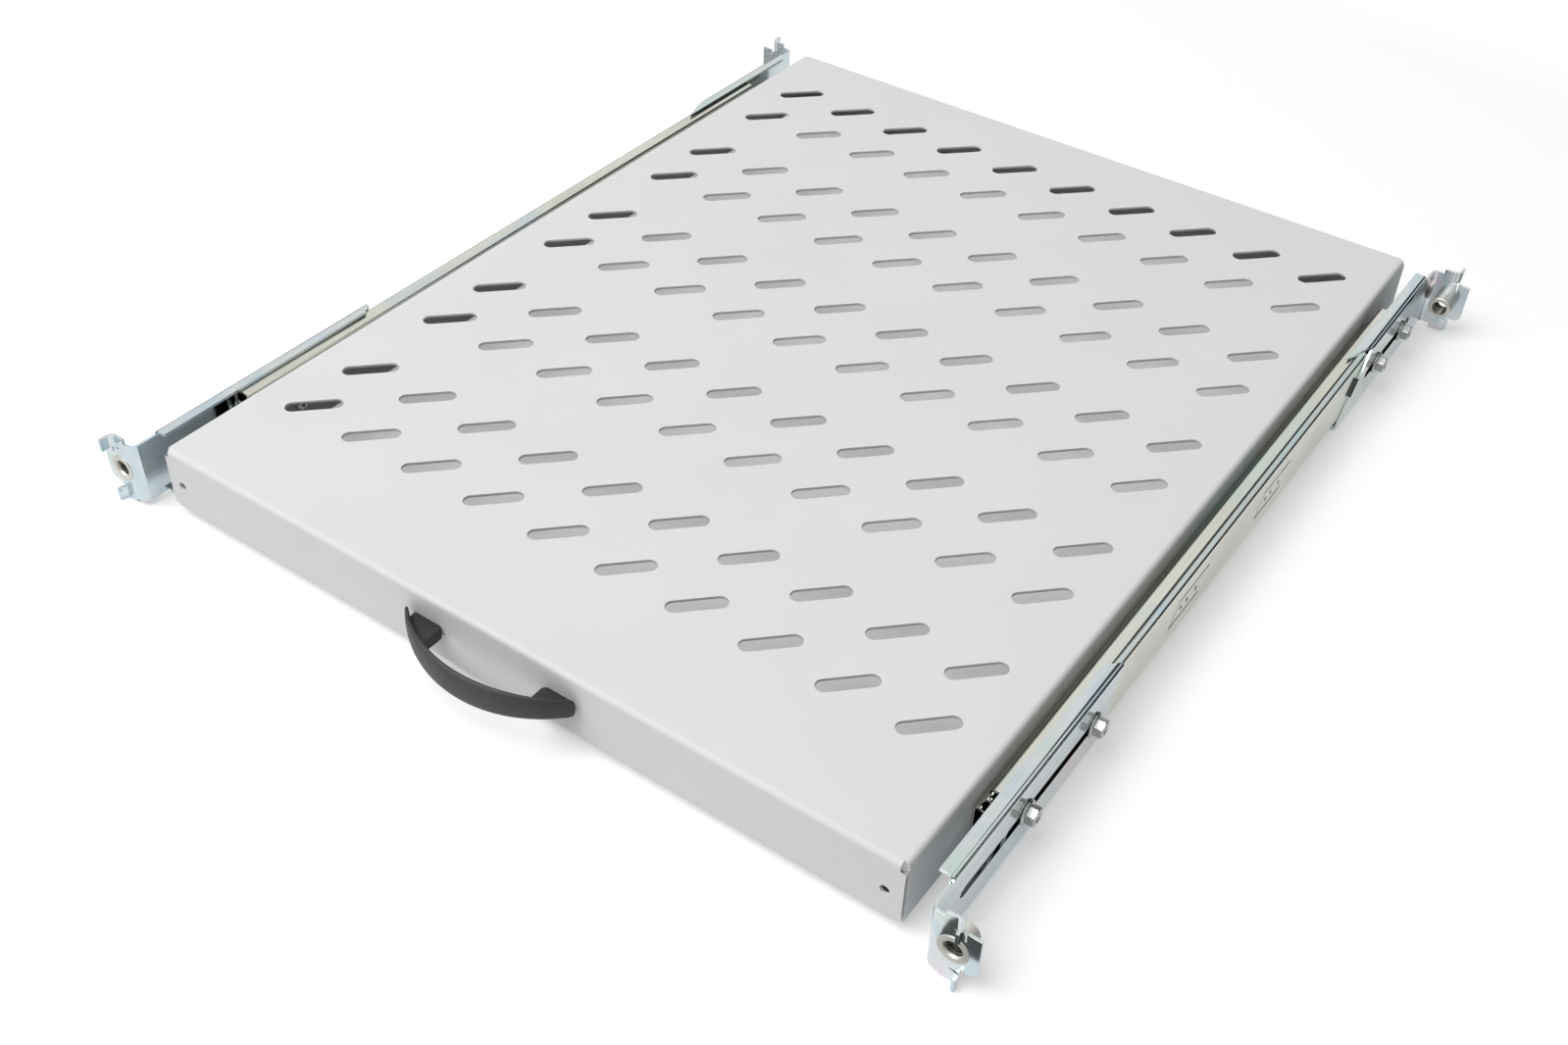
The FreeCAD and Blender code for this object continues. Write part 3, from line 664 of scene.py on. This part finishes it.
def tray_shells():
    """Slotted top, both sides, the front with its hole tiles, and the plain back."""
    size = sizes()
    low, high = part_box("tray")
    top, tile_low, tile_high = slotted_top(high)
    side = side_flange(low, high, tile_high[0], size)
    wall_x = high.x - 2.0 * size.front_hole_inset
    front, relief_level, lower = end_flange(low, high, tile_low[1], tile_high[0], wall_x, size)
    middle = (low.y + high.y) / 2.0
    back_margin = 2.0 * middle - tile_high[1]
    plain = end_flange(low, high, back_margin, tile_high[0], high.x, size)[0]
    shells = [top] + side + mirrored(side, 0) + front + mirrored(plain, 1, middle)
    return shells + front_hole_tiles(low, high, wall_x, relief_level, lower, size)


# Handle

def chord_arc(half, near, crown, share):
    """Arc in plan through both tips (+-half, near) and the crown, walked by share from -1 to 1."""
    rise = near - crown
    radius = (half ** 2 + rise ** 2) / (2.0 * rise)
    turn = share * math.asin(half / radius)
    return np.stack([radius * np.sin(turn), crown + radius * (1.0 - np.cos(turn))], axis=1)


def grip_bow(low, high, size):
    """Bow: a full oval between two arcs in plan, lower by share squared towards the tips, which close as the
    cube root of 1 - q^3."""
    stations, around = 121, 48
    fullness, round_start = 2.2, 0.955
    share = np.sin(np.linspace(-0.5, 0.5, stations) * np.pi)
    tip_face = high.y - size.grip_tip_gap
    outer = chord_arc(high.x, tip_face - size.grip_tip, low.y, share)
    inner = chord_arc(high.x - size.grip_tip / 2.0, tip_face, low.y + size.grip_thickness, share)
    middle, reach = (outer + inner) / 2.0, (outer - inner) / 2.0
    end = np.clip((np.abs(share) - round_start) / (1.0 - round_start), 0.0, 1.0)
    closing = np.cbrt(1.0 - end ** 3)
    tallness = (high.z - low.z) + (size.grip_tip_height - high.z + low.z) * share ** 2
    turn = full_turn(around)
    power = 2.0 / fullness
    deep = np.sign(np.cos(turn)) * np.abs(np.cos(turn)) ** power
    tall = np.sign(np.sin(turn)) * np.abs(np.sin(turn)) ** power
    points = np.empty((len(share), len(turn), 3))
    points[..., :2] = middle[:, None, :] + (closing[:, None] * deep)[..., None] * reach[:, None, :]
    points[..., 2] = (low.z + high.z) / 2.0 + (tallness * closing / 2.0)[:, None] * tall
    return surface(points, wrap=True, flip=True)


def rounded_loop(corners, radii, steps=6):
    """Closed outline of a convex polygon with each corner turned into an arc of its own radius."""
    corners, radii = np.asarray(corners, float), np.asarray(radii, float)
    before = np.roll(corners, 1, axis=0) - corners
    after = np.roll(corners, -1, axis=0) - corners
    before /= np.linalg.norm(before, axis=1)[:, None]
    after /= np.linalg.norm(after, axis=1)[:, None]
    half_angle = np.arccos(np.clip((before * after).sum(axis=1), -1.0, 1.0)) / 2.0
    bisector = before + after
    bisector /= np.linalg.norm(bisector, axis=1)[:, None]
    centre = corners + bisector * (radii / np.sin(half_angle))[:, None]
    sweep = np.linspace(-1.0, 1.0, steps + 1) * (np.pi / 2.0 - half_angle)[:, None]
    facing = np.arctan2(-bisector[:, 1], -bisector[:, 0])[:, None] + sweep
    loop = centre[:, None, :] + radii[:, None, None] * np.stack([np.cos(facing), np.sin(facing)], axis=-1)
    return loop.reshape(-1, 2)


def soft_block(loop, bottom, top, edge):
    """Upright block over an outline, its upper and lower edges eased; each ring is the outline drawn in
    about its middle."""
    middle = loop.mean(axis=0)
    width = np.linalg.norm(loop - middle, axis=1).max()
    ease = np.radians(np.linspace(0.0, 90.0, 5))
    draw_in = edge * (1.0 - np.sin(ease)) / width
    rise = edge * (1.0 - np.cos(ease))
    scale = np.concatenate([[0.0], 1.0 - draw_in, 1.0 - draw_in[::-1], [0.0]])
    level = np.concatenate([[bottom], bottom + rise, top - rise[::-1], [top]])
    points = np.empty((len(scale), len(loop), 3))
    points[..., :2] = middle + scale[:, None, None] * (loop - middle)
    points[..., 2] = level[:, None]
    return surface(points, wrap=True)


def grip_foot(low, high, size):
    """Right foot: a wedge between the tray and the inside of the bow."""
    outer_x = high.x - size.foot_inset
    inner_x = outer_x - size.foot_width
    half = high.x - size.grip_tip / 2.0
    share = np.linspace(-1.0, 1.0, 401)
    bow = chord_arc(half, high.y - size.grip_tip_gap, low.y + size.grip_thickness, share)
    # The foot's front end is buried in the bow
    bury = size.grip_thickness / 4.0
    near_y = np.interp([inner_x, outer_x], bow[:, 0], bow[:, 1]) - bury
    corners = [(inner_x, near_y[0]), (outer_x, near_y[1]), (outer_x, high.y), (inner_x, high.y)]
    bow_round, edge = 0.4 * MM, 0.6 * MM
    loop = rounded_loop(corners, [bow_round, bow_round, edge, size.foot_round])
    middle = (low.z + high.z) / 2.0 - size.foot_drop
    return soft_block(loop, middle - size.foot_height / 2.0, middle + size.foot_height / 2.0, edge)


def handle_shells():
    """Bow and both feet."""
    size = sizes()
    low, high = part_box("handle")
    foot = grip_foot(low, high, size)
    return [grip_bow(low, high, size), foot] + mirrored([foot], 0)


# Inserts, bolts, screws and balls

def insert_shells(depth):
    """Threaded insert along +Z from the post side: revolved collar and body, and a bore whose radius follows
    a triangular wave of height over pitch less turn, which is a true helix, flattened at crest and root."""
    size = sizes()
    steps, bore_rows = 72, 150
    collar, body, mouth, minor = 7.0 * MM, 6.0 * MM, 4.5 * MM, 3.4 * MM
    plate, ease = 0.4 * MM, 0.15 * MM
    start = mouth - minor
    profile = [(minor + size.thread_depth, depth), (body - 2.0 * ease, depth), (body, depth - 2.0 * ease),
               (body, plate), (collar, plate), (collar, ease), (collar - ease, 0.0), (mouth, 0.0),
               (minor + size.thread_depth, start)]
    turn = full_turn(steps)
    height = np.linspace(start, depth, bore_rows)[:, None]
    phase = (height - start) / size.thread_pitch - turn / (2.0 * np.pi)
    wave = np.abs(2.0 * (phase - np.floor(phase)) - 1.0)
    crest = np.clip(1.5 * wave - 0.25, 0.0, 1.0)
    run_out = 0.6 * size.thread_pitch
    fade = np.clip(np.minimum(height - start, depth - height) / run_out, 0.0, 1.0)
    radius = minor + size.thread_depth * (1.0 - fade * crest)
    return [revolved(profile, steps), surface(ring_points(radius, turn, height), wrap=True)]


def thread_faces(mesh, axis_x, finish):
    """Gives the faces of the bore a finish of their own."""
    bore_reach = 4.1 * MM
    centres = np.empty(len(mesh.polygons) * 3, np.float32)
    mesh.polygons.foreach_get("center", centres)
    centres = centres.reshape(-1, 3)
    inside = np.hypot(centres[:, 0] - axis_x, centres[:, 2]) < bore_reach
    mesh.materials.append(finish)
    mesh.polygons.foreach_set("material_index", inside.astype(np.int32))


def hexagon(turn, apothem):
    """Radius of a hexagon with softened corners: apothem over the root of the summed high powers of the
    cosines to its three pairs of sides."""
    sides = np.arange(3) * np.pi / 3.0
    power = 26.0
    return apothem / (np.abs(np.cos(turn[:, None] - sides)) ** power).sum(axis=1) ** (1.0 / power)


def bolt_shells(shank_depth, head_height):
    """Flange bolt along +Z from its seat: round flange, hexagon cut by a cone at the top, shallow dish."""
    turn = full_turn(96)
    flat = hexagon(turn, 4.0 * MM)
    rim, seat, shank = 5.9 * MM, 5.6 * MM, 2.5 * MM
    flange = [(0.0, -shank_depth), (shank, -shank_depth), (shank, 0.0), (seat, 0.0), (rim, 0.25 * MM),
              (rim, 0.7 * MM), (rim - 0.2 * MM, 0.95 * MM), (5.0 * MM, 1.35 * MM)]
    foot_level = 1.5 * MM
    cone_top, cone_slope = 3.75 * MM, math.sqrt(3.0)
    cone_levels = head_height - np.array([0.62, 0.5, 0.38, 0.26, 0.14, 0.05]) * MM
    cone = cone_top + (head_height - cone_levels) * cone_slope
    dish = [(3.45 * MM, head_height), (2.3 * MM, head_height - 0.08 * MM), (1.9 * MM, head_height - 0.4 * MM),
            (0.0, head_height - 0.45 * MM)]
    head = list(zip(np.minimum(flat, cone[:, None]), cone_levels))
    rows = flange + [(flat, foot_level)] + head + dish
    points = np.stack([ring_points(radius, turn, level) for radius, level in rows])
    return [surface(points, wrap=True)]


def screw_shells():
    """Pan-head screw along +Z from its seat: a domed head whose height drops into a tapered cross recess."""
    head = sizes().screw_head / 2.0
    tall = 0.36 * head * 2.0
    arm_half, arm_reach, recess_depth = 0.13 * head, 0.52 * head, 0.55 * tall
    turn, crown_rows = full_turn(96), 23
    rise = np.radians(np.linspace(0.0, 62.0, 9))
    rim = head * np.cos(rise) ** 0.5
    side = tall * np.sin(rise) / math.sin(rise[-1])
    radius = np.concatenate([[0.0, head], rim, np.linspace(rim[-1], 0.0, crown_rows + 1)[1:]])
    level = np.concatenate([[0.0, 0.0], side, np.full(crown_rows, tall)])
    points = ring_points(radius[:, None], turn, level[:, None])
    across = np.abs(points[..., :2])
    arm = across.min(axis=-1) / arm_half
    reach = across.max(axis=-1) / arm_reach
    recess = np.clip(1.6 * (1.0 - arm ** 4), 0.0, 1.0) * np.clip(2.4 * (1.0 - reach), 0.0, 1.0)
    points[..., 2] -= np.where(level[:, None] >= tall, recess_depth, 0.0) * recess
    return [surface(points, wrap=True)]


def ball_shells(centres):
    """Balls: cosine and sine of latitude as radius and height of rings about each centre."""
    radius = sizes().ball / 2.0
    latitude = np.linspace(-0.5, 0.5, 13)[:, None] * np.pi
    unit = ring_points(np.cos(latitude), full_turn(24), np.sin(latitude))
    return [surface(centres[:, None, None, :] + radius * unit, wrap=True)]


# Operators

class SHELF_OT_tray(bpy.types.Operator):
    """Folded tray with its field of slanted slots"""
    bl_idname = "shelf.tray"
    bl_label = "Tray"

    def execute(self, context):
        place_piece(mesh_of("tray_sheet", tray_shells()), paint_finish(), "tray", ["tray"],
                    crease=30.0)
        return {"FINISHED"}


class SHELF_OT_handle(bpy.types.Operator):
    """Moulded bow handle on two feet"""
    bl_idname = "shelf.handle"
    bl_label = "Handle"

    def execute(self, context):
        # Painted shade: the plastic is darkened to 0.4 of its tone towards the tray, over the feet and the
        # bow's tips, which lie in the bow's shadow.
        near, far = 3.0 * MM, 15.0 * MM
        finish = plastic_finish("handle_moulded_plastic", colours().plastic, rough=(0.50, 0.62),
                                painted_shade=lambda tree, colour: painted_shade_along_axis(tree, colour, "Y", 0.40, near, far))
        place_piece(mesh_of("handle_bow", handle_shells()), finish, "tray", ["handle"],
                    crease=50.0)
        return {"FINISHED"}


class SHELF_OT_slides(bpy.types.Operator):
    """Rails, ball cages and bumpers of both telescopic slides"""
    bl_idname = "shelf.slides"
    bl_label = "Slides"

    def execute(self, context):
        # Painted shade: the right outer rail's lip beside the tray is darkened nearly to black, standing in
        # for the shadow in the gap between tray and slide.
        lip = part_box("outer_rail_right")[0].x
        near, far = lip + 1.0 * MM, lip + 1.3 * MM
        gap_shaded_zinc = slide_finish("slide_zinc_painted_gap_shade",
                               lambda tree, colour: painted_shade_along_axis(tree, colour, "X", 0.03, near, far))
        unshaded, cages = slide_finish("slide_zinc"), cage_finish()
        bumper = plastic_finish("bumper_dark_plastic", shade(colours().plastic, 1.1), rough=(0.45, 0.60))
        for side in SIDES:
            edge_rounded("outer_rail_" + side, gap_shaded_zinc if side == "right" else unshaded)
            for rail in ("middle_rail_", "inner_rail_"):
                edge_rounded(rail + side, unshaded)
            for cage in ("outer_ball_cage_", "inner_ball_cage_"):
                edge_rounded(cage + side, cages)
            edge_rounded("rear_bumper_" + side, bumper)
        return {"FINISHED"}


class SHELF_OT_balls(bpy.types.Operator):
    """Round bearing balls in the cages"""
    bl_idname = "shelf.balls"
    bl_label = "Balls"

    def execute(self, context):
        finish = ball_finish()
        balls_in_row = 3
        for side in SIDES:
            for row in ("outer", "inner"):
                node = f"{row}_balls_{side}"
                low, high = (np.array(corner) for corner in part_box(node))
                middle = (low[0] + high[0]) / 2.0
                reach = (high[0] - low[0]) / 2.0
                y = np.linspace(low[1] + reach, high[1] - reach, balls_in_row)
                z = np.array([low[2] + reach, high[2] - reach])
                grid_y, grid_z = np.meshgrid(y, z)
                centres = np.stack([np.full(grid_y.size, middle), grid_y.ravel(), grid_z.ravel()], axis=1)
                place_piece(mesh_of(f"{row}_balls_round_{side}", ball_shells(centres)), finish,
                            f"{row}_cage_{side}", [node], crease=60.0)
        return {"FINISHED"}


class SHELF_OT_brackets(bpy.types.Operator):
    """Hook brackets at the four corners"""
    bl_idname = "shelf.brackets"
    bl_label = "Brackets"

    def execute(self, context):
        finish = bracket_finish()
        for end, side in CORNERS:
            edge_rounded(f"{end}_bracket_{side}", finish)
        return {"FINISHED"}


class SHELF_OT_inserts(bpy.types.Operator):
    """Threaded inserts pressed into the brackets"""
    bl_idname = "shelf.inserts"
    bl_label = "Inserts"

    def execute(self, context):
        finish, oiled = insert_finish(), thread_finish()
        for end, side in CORNERS:
            node = f"{end}_insert_{side}"
            low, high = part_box(node)
            axis_x = (low.x + high.x) / 2.0
            shells = turned(insert_shells(high.y - low.y), (1, 0, 0), (0, 0, -1), (0, 1, 0))
            shells = moved(shells, axis_x, low.y)
            if end == "rear":
                shells = mirrored(shells, 1, (low.y + high.y) / 2.0)
            piece = place_piece(mesh_of(f"{end}_insert_thread_{side}", shells), finish,
                                f"{end}_bracket_{side}", [node], crease=40.0)
            thread_faces(piece.data, axis_x, oiled)
        return {"FINISHED"}


class SHELF_OT_bolts(bpy.types.Operator):
    """Hexagon flange bolts that clamp the brackets to the slides"""
    bl_idname = "shelf.bolts"
    bl_label = "Bolts"

    def execute(self, context):
        finish = fastener_finish()
        head_height = 5.4 * MM
        for end in ENDS:
            low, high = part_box(f"{end}_bolts_right")
            seat = high.x - head_height
            bolt = turned(bolt_shells(seat - low.x, head_height), (0, 1, 0), (0, 0, 1), (1, 0, 0))
            pair = moved(bolt, seat, low.y + high.z) + moved(bolt, seat, high.y - high.z)
            for side in SIDES:
                shells = pair if side == "right" else mirrored(pair, 0)
                place_piece(mesh_of(f"{end}_flange_bolts_{side}", shells), finish, "rails",
                            [f"{end}_bolts_{side}"], crease=32.0)
        return {"FINISHED"}


class SHELF_OT_screws(bpy.types.Operator):
    """Pan-head screws inside the tray that hold the handle and the inner rails"""
    bl_idname = "shelf.screws"
    bl_label = "Screws"

    def execute(self, context):
        finish = fastener_finish()
        size = sizes()
        low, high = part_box("tray")
        grip_low, grip_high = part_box("handle")
        rail_low, rail_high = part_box("inner_rail_right")
        screw = screw_shells()
        foot_x = grip_high.x - size.foot_inset - size.foot_width / 2.0
        level = (grip_low.z + grip_high.z) / 2.0 - size.foot_drop
        facing_back = turned(screw, (1, 0, 0), (0, 0, -1), (0, 1, 0))
        right = moved(facing_back, foot_x, low.y + size.sheet, level)
        place_piece(mesh_of("handle_screws", right + mirrored(right, 0)), finish, "tray",
                    crease=40.0)
        facing_in = turned(screw, (0, 1, 0), (0, 0, -1), (-1, 0, 0))
        ends_inset, screws_in_rail = 30.0 * MM, 3
        places = np.linspace(rail_low.y + ends_inset, rail_high.y - ends_inset, screws_in_rail)
        right = [shell for y in places for shell in moved(facing_in, high.x - size.sheet, y, 0.0)]
        place_piece(mesh_of("slide_screws", right + mirrored(right, 0)), finish, "tray",
                    crease=40.0)
        return {"FINISHED"}


# Stage

def seen_rays(tree):
    """One for camera, glossy and transmission rays, nought for the others."""
    rays = tree.nodes.new("ShaderNodeLightPath").outputs
    direct = calculated(tree, "MAXIMUM", rays["Is Camera Ray"], rays["Is Glossy Ray"])
    return calculated(tree, "MAXIMUM", direct, rays["Is Transmission Ray"])


def floor_finish():
    """Pale floor that keeps its shadow, lifted for what the camera and reflections see, white far away."""
    near_lift, near, far = 0.34, 0.9, 1.9
    material, tree, shader = new_finish("studio_floor")
    tree.nodes.remove(shader)
    distance = calculated(tree, "LENGTH", object_place(tree), kind="ShaderNodeVectorMath")
    lift = calculated(tree, "MULTIPLY", seen_rays(tree), spread(tree, distance, near_lift, 1.0, near, far))
    glow = new_node(tree, "ShaderNodeEmission", {"Strength": lift})
    matte = new_node(tree, "ShaderNodeBsdfDiffuse", {"Color": (*colours().floor, 1.0)})
    both = new_node(tree, "ShaderNodeAddShader", {0: glow.outputs[0], 1: matte.outputs[0]})
    set_sockets(tree, tree.nodes["Material Output"], {"Surface": both.outputs[0]})
    return material


def soft_world(fill):
    """Even fill light, white where the camera or a reflection looks past the floor."""
    world = bpy.data.worlds.new("studio_fill")
    world.use_nodes = True
    tree = world.node_tree
    strength = spread(tree, seen_rays(tree), fill, 1.0, start=0.0, end=1.0)
    set_sockets(tree, tree.nodes["Background"], {"Color": (*WHITE, 1.0), "Strength": strength})
    bpy.context.scene.world = world


def softbox(name, place, target, width, power):
    """Square area lamp that faces a target."""
    lamp = bpy.data.lights.new(name, "AREA")
    lamp.shape = "RECTANGLE"
    lamp.size = width
    lamp.size_y = width
    lamp.energy = power
    holder = add_object(name, lamp)
    holder.location = place
    holder.rotation_euler = (Vector(target) - Vector(place)).to_track_quat("-Z", "Y").to_euler()


def band(start, end, low_edge, high_edge):
    """Upright band of card about the middle of the stage, angles in degrees from +X."""
    radius, columns = 2.4, 65
    turn = np.radians(np.linspace(start, end, columns))
    return surface(ring_points(radius, turn, np.array([[low_edge], [high_edge]])))


def level_sheet(x_ends, y_ends, level):
    """Level rectangle between two ends along X and two along Y."""
    x, y = np.meshgrid(x_ends, y_ends)
    return surface(np.stack([x, y, np.full((2, 2), level)], axis=-1))


def slatted_card(floor_level):
    """Long upright card beside the right slide, cut into slanted slats like a blind: each slat is its middle
    plus a share of its depth along the slant. It looks closed from one side and half open from others."""
    aside, near, far, tall = 0.262, -0.1, 1.4, 0.045
    pitch, depth, slant = 0.8 * MM, 0.56 * MM, (0.883, -0.469)
    middles = np.arange(near, far, pitch)
    share = depth * np.array([-0.5, 0.5])
    points = np.empty((len(middles), 2, 2, 3))
    points[..., 0] = aside + slant[0] * share
    points[..., 1] = middles[:, None, None] + slant[1] * share
    points[..., 2] = np.array([floor_level, floor_level + tall])[:, None]
    return surface(points)


def stage_piece(name, shells, finish):
    """Object of the stage, which is no part of the shelf."""
    mesh = mesh_of(name, shells)
    mesh.materials.append(finish)
    piece = add_object(name, mesh)
    return piece


def reflection_card(name, shells, colour, strength):
    """Card that only reflections see."""
    finish, tree, shader = new_finish(name)
    set_sockets(tree, shader, {"Base Color": (*BLACK, 1.0), "Emission Color": (*colour, 1.0),
                               "Emission Strength": strength})
    card = stage_piece(name, shells, finish)
    card.visible_camera = False
    card.visible_diffuse = False
    card.visible_shadow = False


def reflection_cards(floor_level):
    """Black cards on the floor before a bracket, at the horizon, high at the back and beside the slides, and
    a pale blue one between them, so that plated bends show a light stripe between two dark lines."""
    foot, horizon, sky, top = (floor_level + rise for rise in (0.02, 0.26, 0.60, 2.20))
    before_bracket = level_sheet((0.219, 0.300), (-0.070, -0.013), floor_level + 1.0 * MM)
    beside = [slatted_card(floor_level)]
    dark = [before_bracket, band(0.0, 360.0, foot, horizon), band(45.0, 80.0, sky, top)]
    reflection_card("black_cards", dark + beside + mirrored(beside, 0), BLACK, 0.0)
    reflection_card("blue_card", [band(20.0, 80.0, horizon, sky)], (0.80, 0.90, 1.0), 1.0)


def add_camera():
    """Camera of the photograph, solved from the slot grid."""
    place = (0.3852, -0.3546, 0.5300)
    lens = bpy.data.cameras.new("product_camera")
    lens.sensor_width = 36.0
    lens.lens = 39.51
    camera = add_object("product_camera", lens)
    forward = Vector((-0.41920, 0.63220, -0.65161)).normalized()
    right = Vector((0.81770, 0.57478, 0.03160))
    right = (right - forward * right.dot(forward)).normalized()
    up = right.cross(forward)
    turn = Matrix((right, up, -forward)).transposed()
    camera.matrix_world = Matrix.Translation(place) @ turn.to_4x4()
    bpy.context.scene.camera = camera


class SHELF_OT_stage(bpy.types.Operator):
    """Pale floor, reflection cards, soft light and the camera"""
    bl_idname = "shelf.stage"
    bl_label = "Stage"

    def execute(self, context):
        floor_ends, key_place = (-6.0, 6.0), (-0.95, -1.00, 2.75)
        stage_piece("studio_floor", [level_sheet(floor_ends, floor_ends, cad_low.z)], floor_finish())
        reflection_cards(cad_low.z)
        soft_world(fill=0.36)
        softbox("key_softbox", key_place, (cad_low + cad_high) / 2.0, width=2.6, power=88.0)
        add_camera()
        context.scene.view_settings.view_transform = "Standard"
        return {"FINISHED"}


PIECE_OPERATORS = (SHELF_OT_tray, SHELF_OT_handle, SHELF_OT_slides, SHELF_OT_balls, SHELF_OT_brackets,
                   SHELF_OT_inserts, SHELF_OT_bolts, SHELF_OT_screws, SHELF_OT_stage)


class SHELF_PT_panel(bpy.types.Panel):
    """Lists the pieces, their sizes and colours"""
    bl_idname = "SHELF_PT_panel"
    bl_label = "Rack Shelf"
    bl_space_type = "VIEW_3D"
    bl_region_type = "UI"
    bl_category = "Rack Shelf"

    def draw(self, context):
        column = self.layout.column()
        for operator in PIECE_OPERATORS:
            column.operator(operator.bl_idname)
        for group in (context.scene.shelf_sizes, context.scene.shelf_colours):
            for key in group.bl_rna.properties.keys():
                if key not in ("rna_type", "name"):
                    column.prop(group, key)


CLASSES = (ShelfSizes, ShelfColours) + PIECE_OPERATORS + (SHELF_PT_panel,)


def register():
    for item in CLASSES:
        bpy.utils.register_class(item)
    bpy.types.Scene.shelf_sizes = bpy.props.PointerProperty(type=ShelfSizes)
    bpy.types.Scene.shelf_colours = bpy.props.PointerProperty(type=ShelfColours)


def unregister():
    del bpy.types.Scene.shelf_colours
    del bpy.types.Scene.shelf_sizes
    for item in reversed(CLASSES):
        bpy.utils.unregister_class(item)


def main():
    register()
    bpy.ops.shelf.tray()
    bpy.ops.shelf.handle()
    bpy.ops.shelf.slides()
    bpy.ops.shelf.balls()
    bpy.ops.shelf.brackets()
    bpy.ops.shelf.inserts()
    bpy.ops.shelf.bolts()
    bpy.ops.shelf.screws()
    bpy.ops.shelf.stage()


if __name__ == "__main__":
    main()
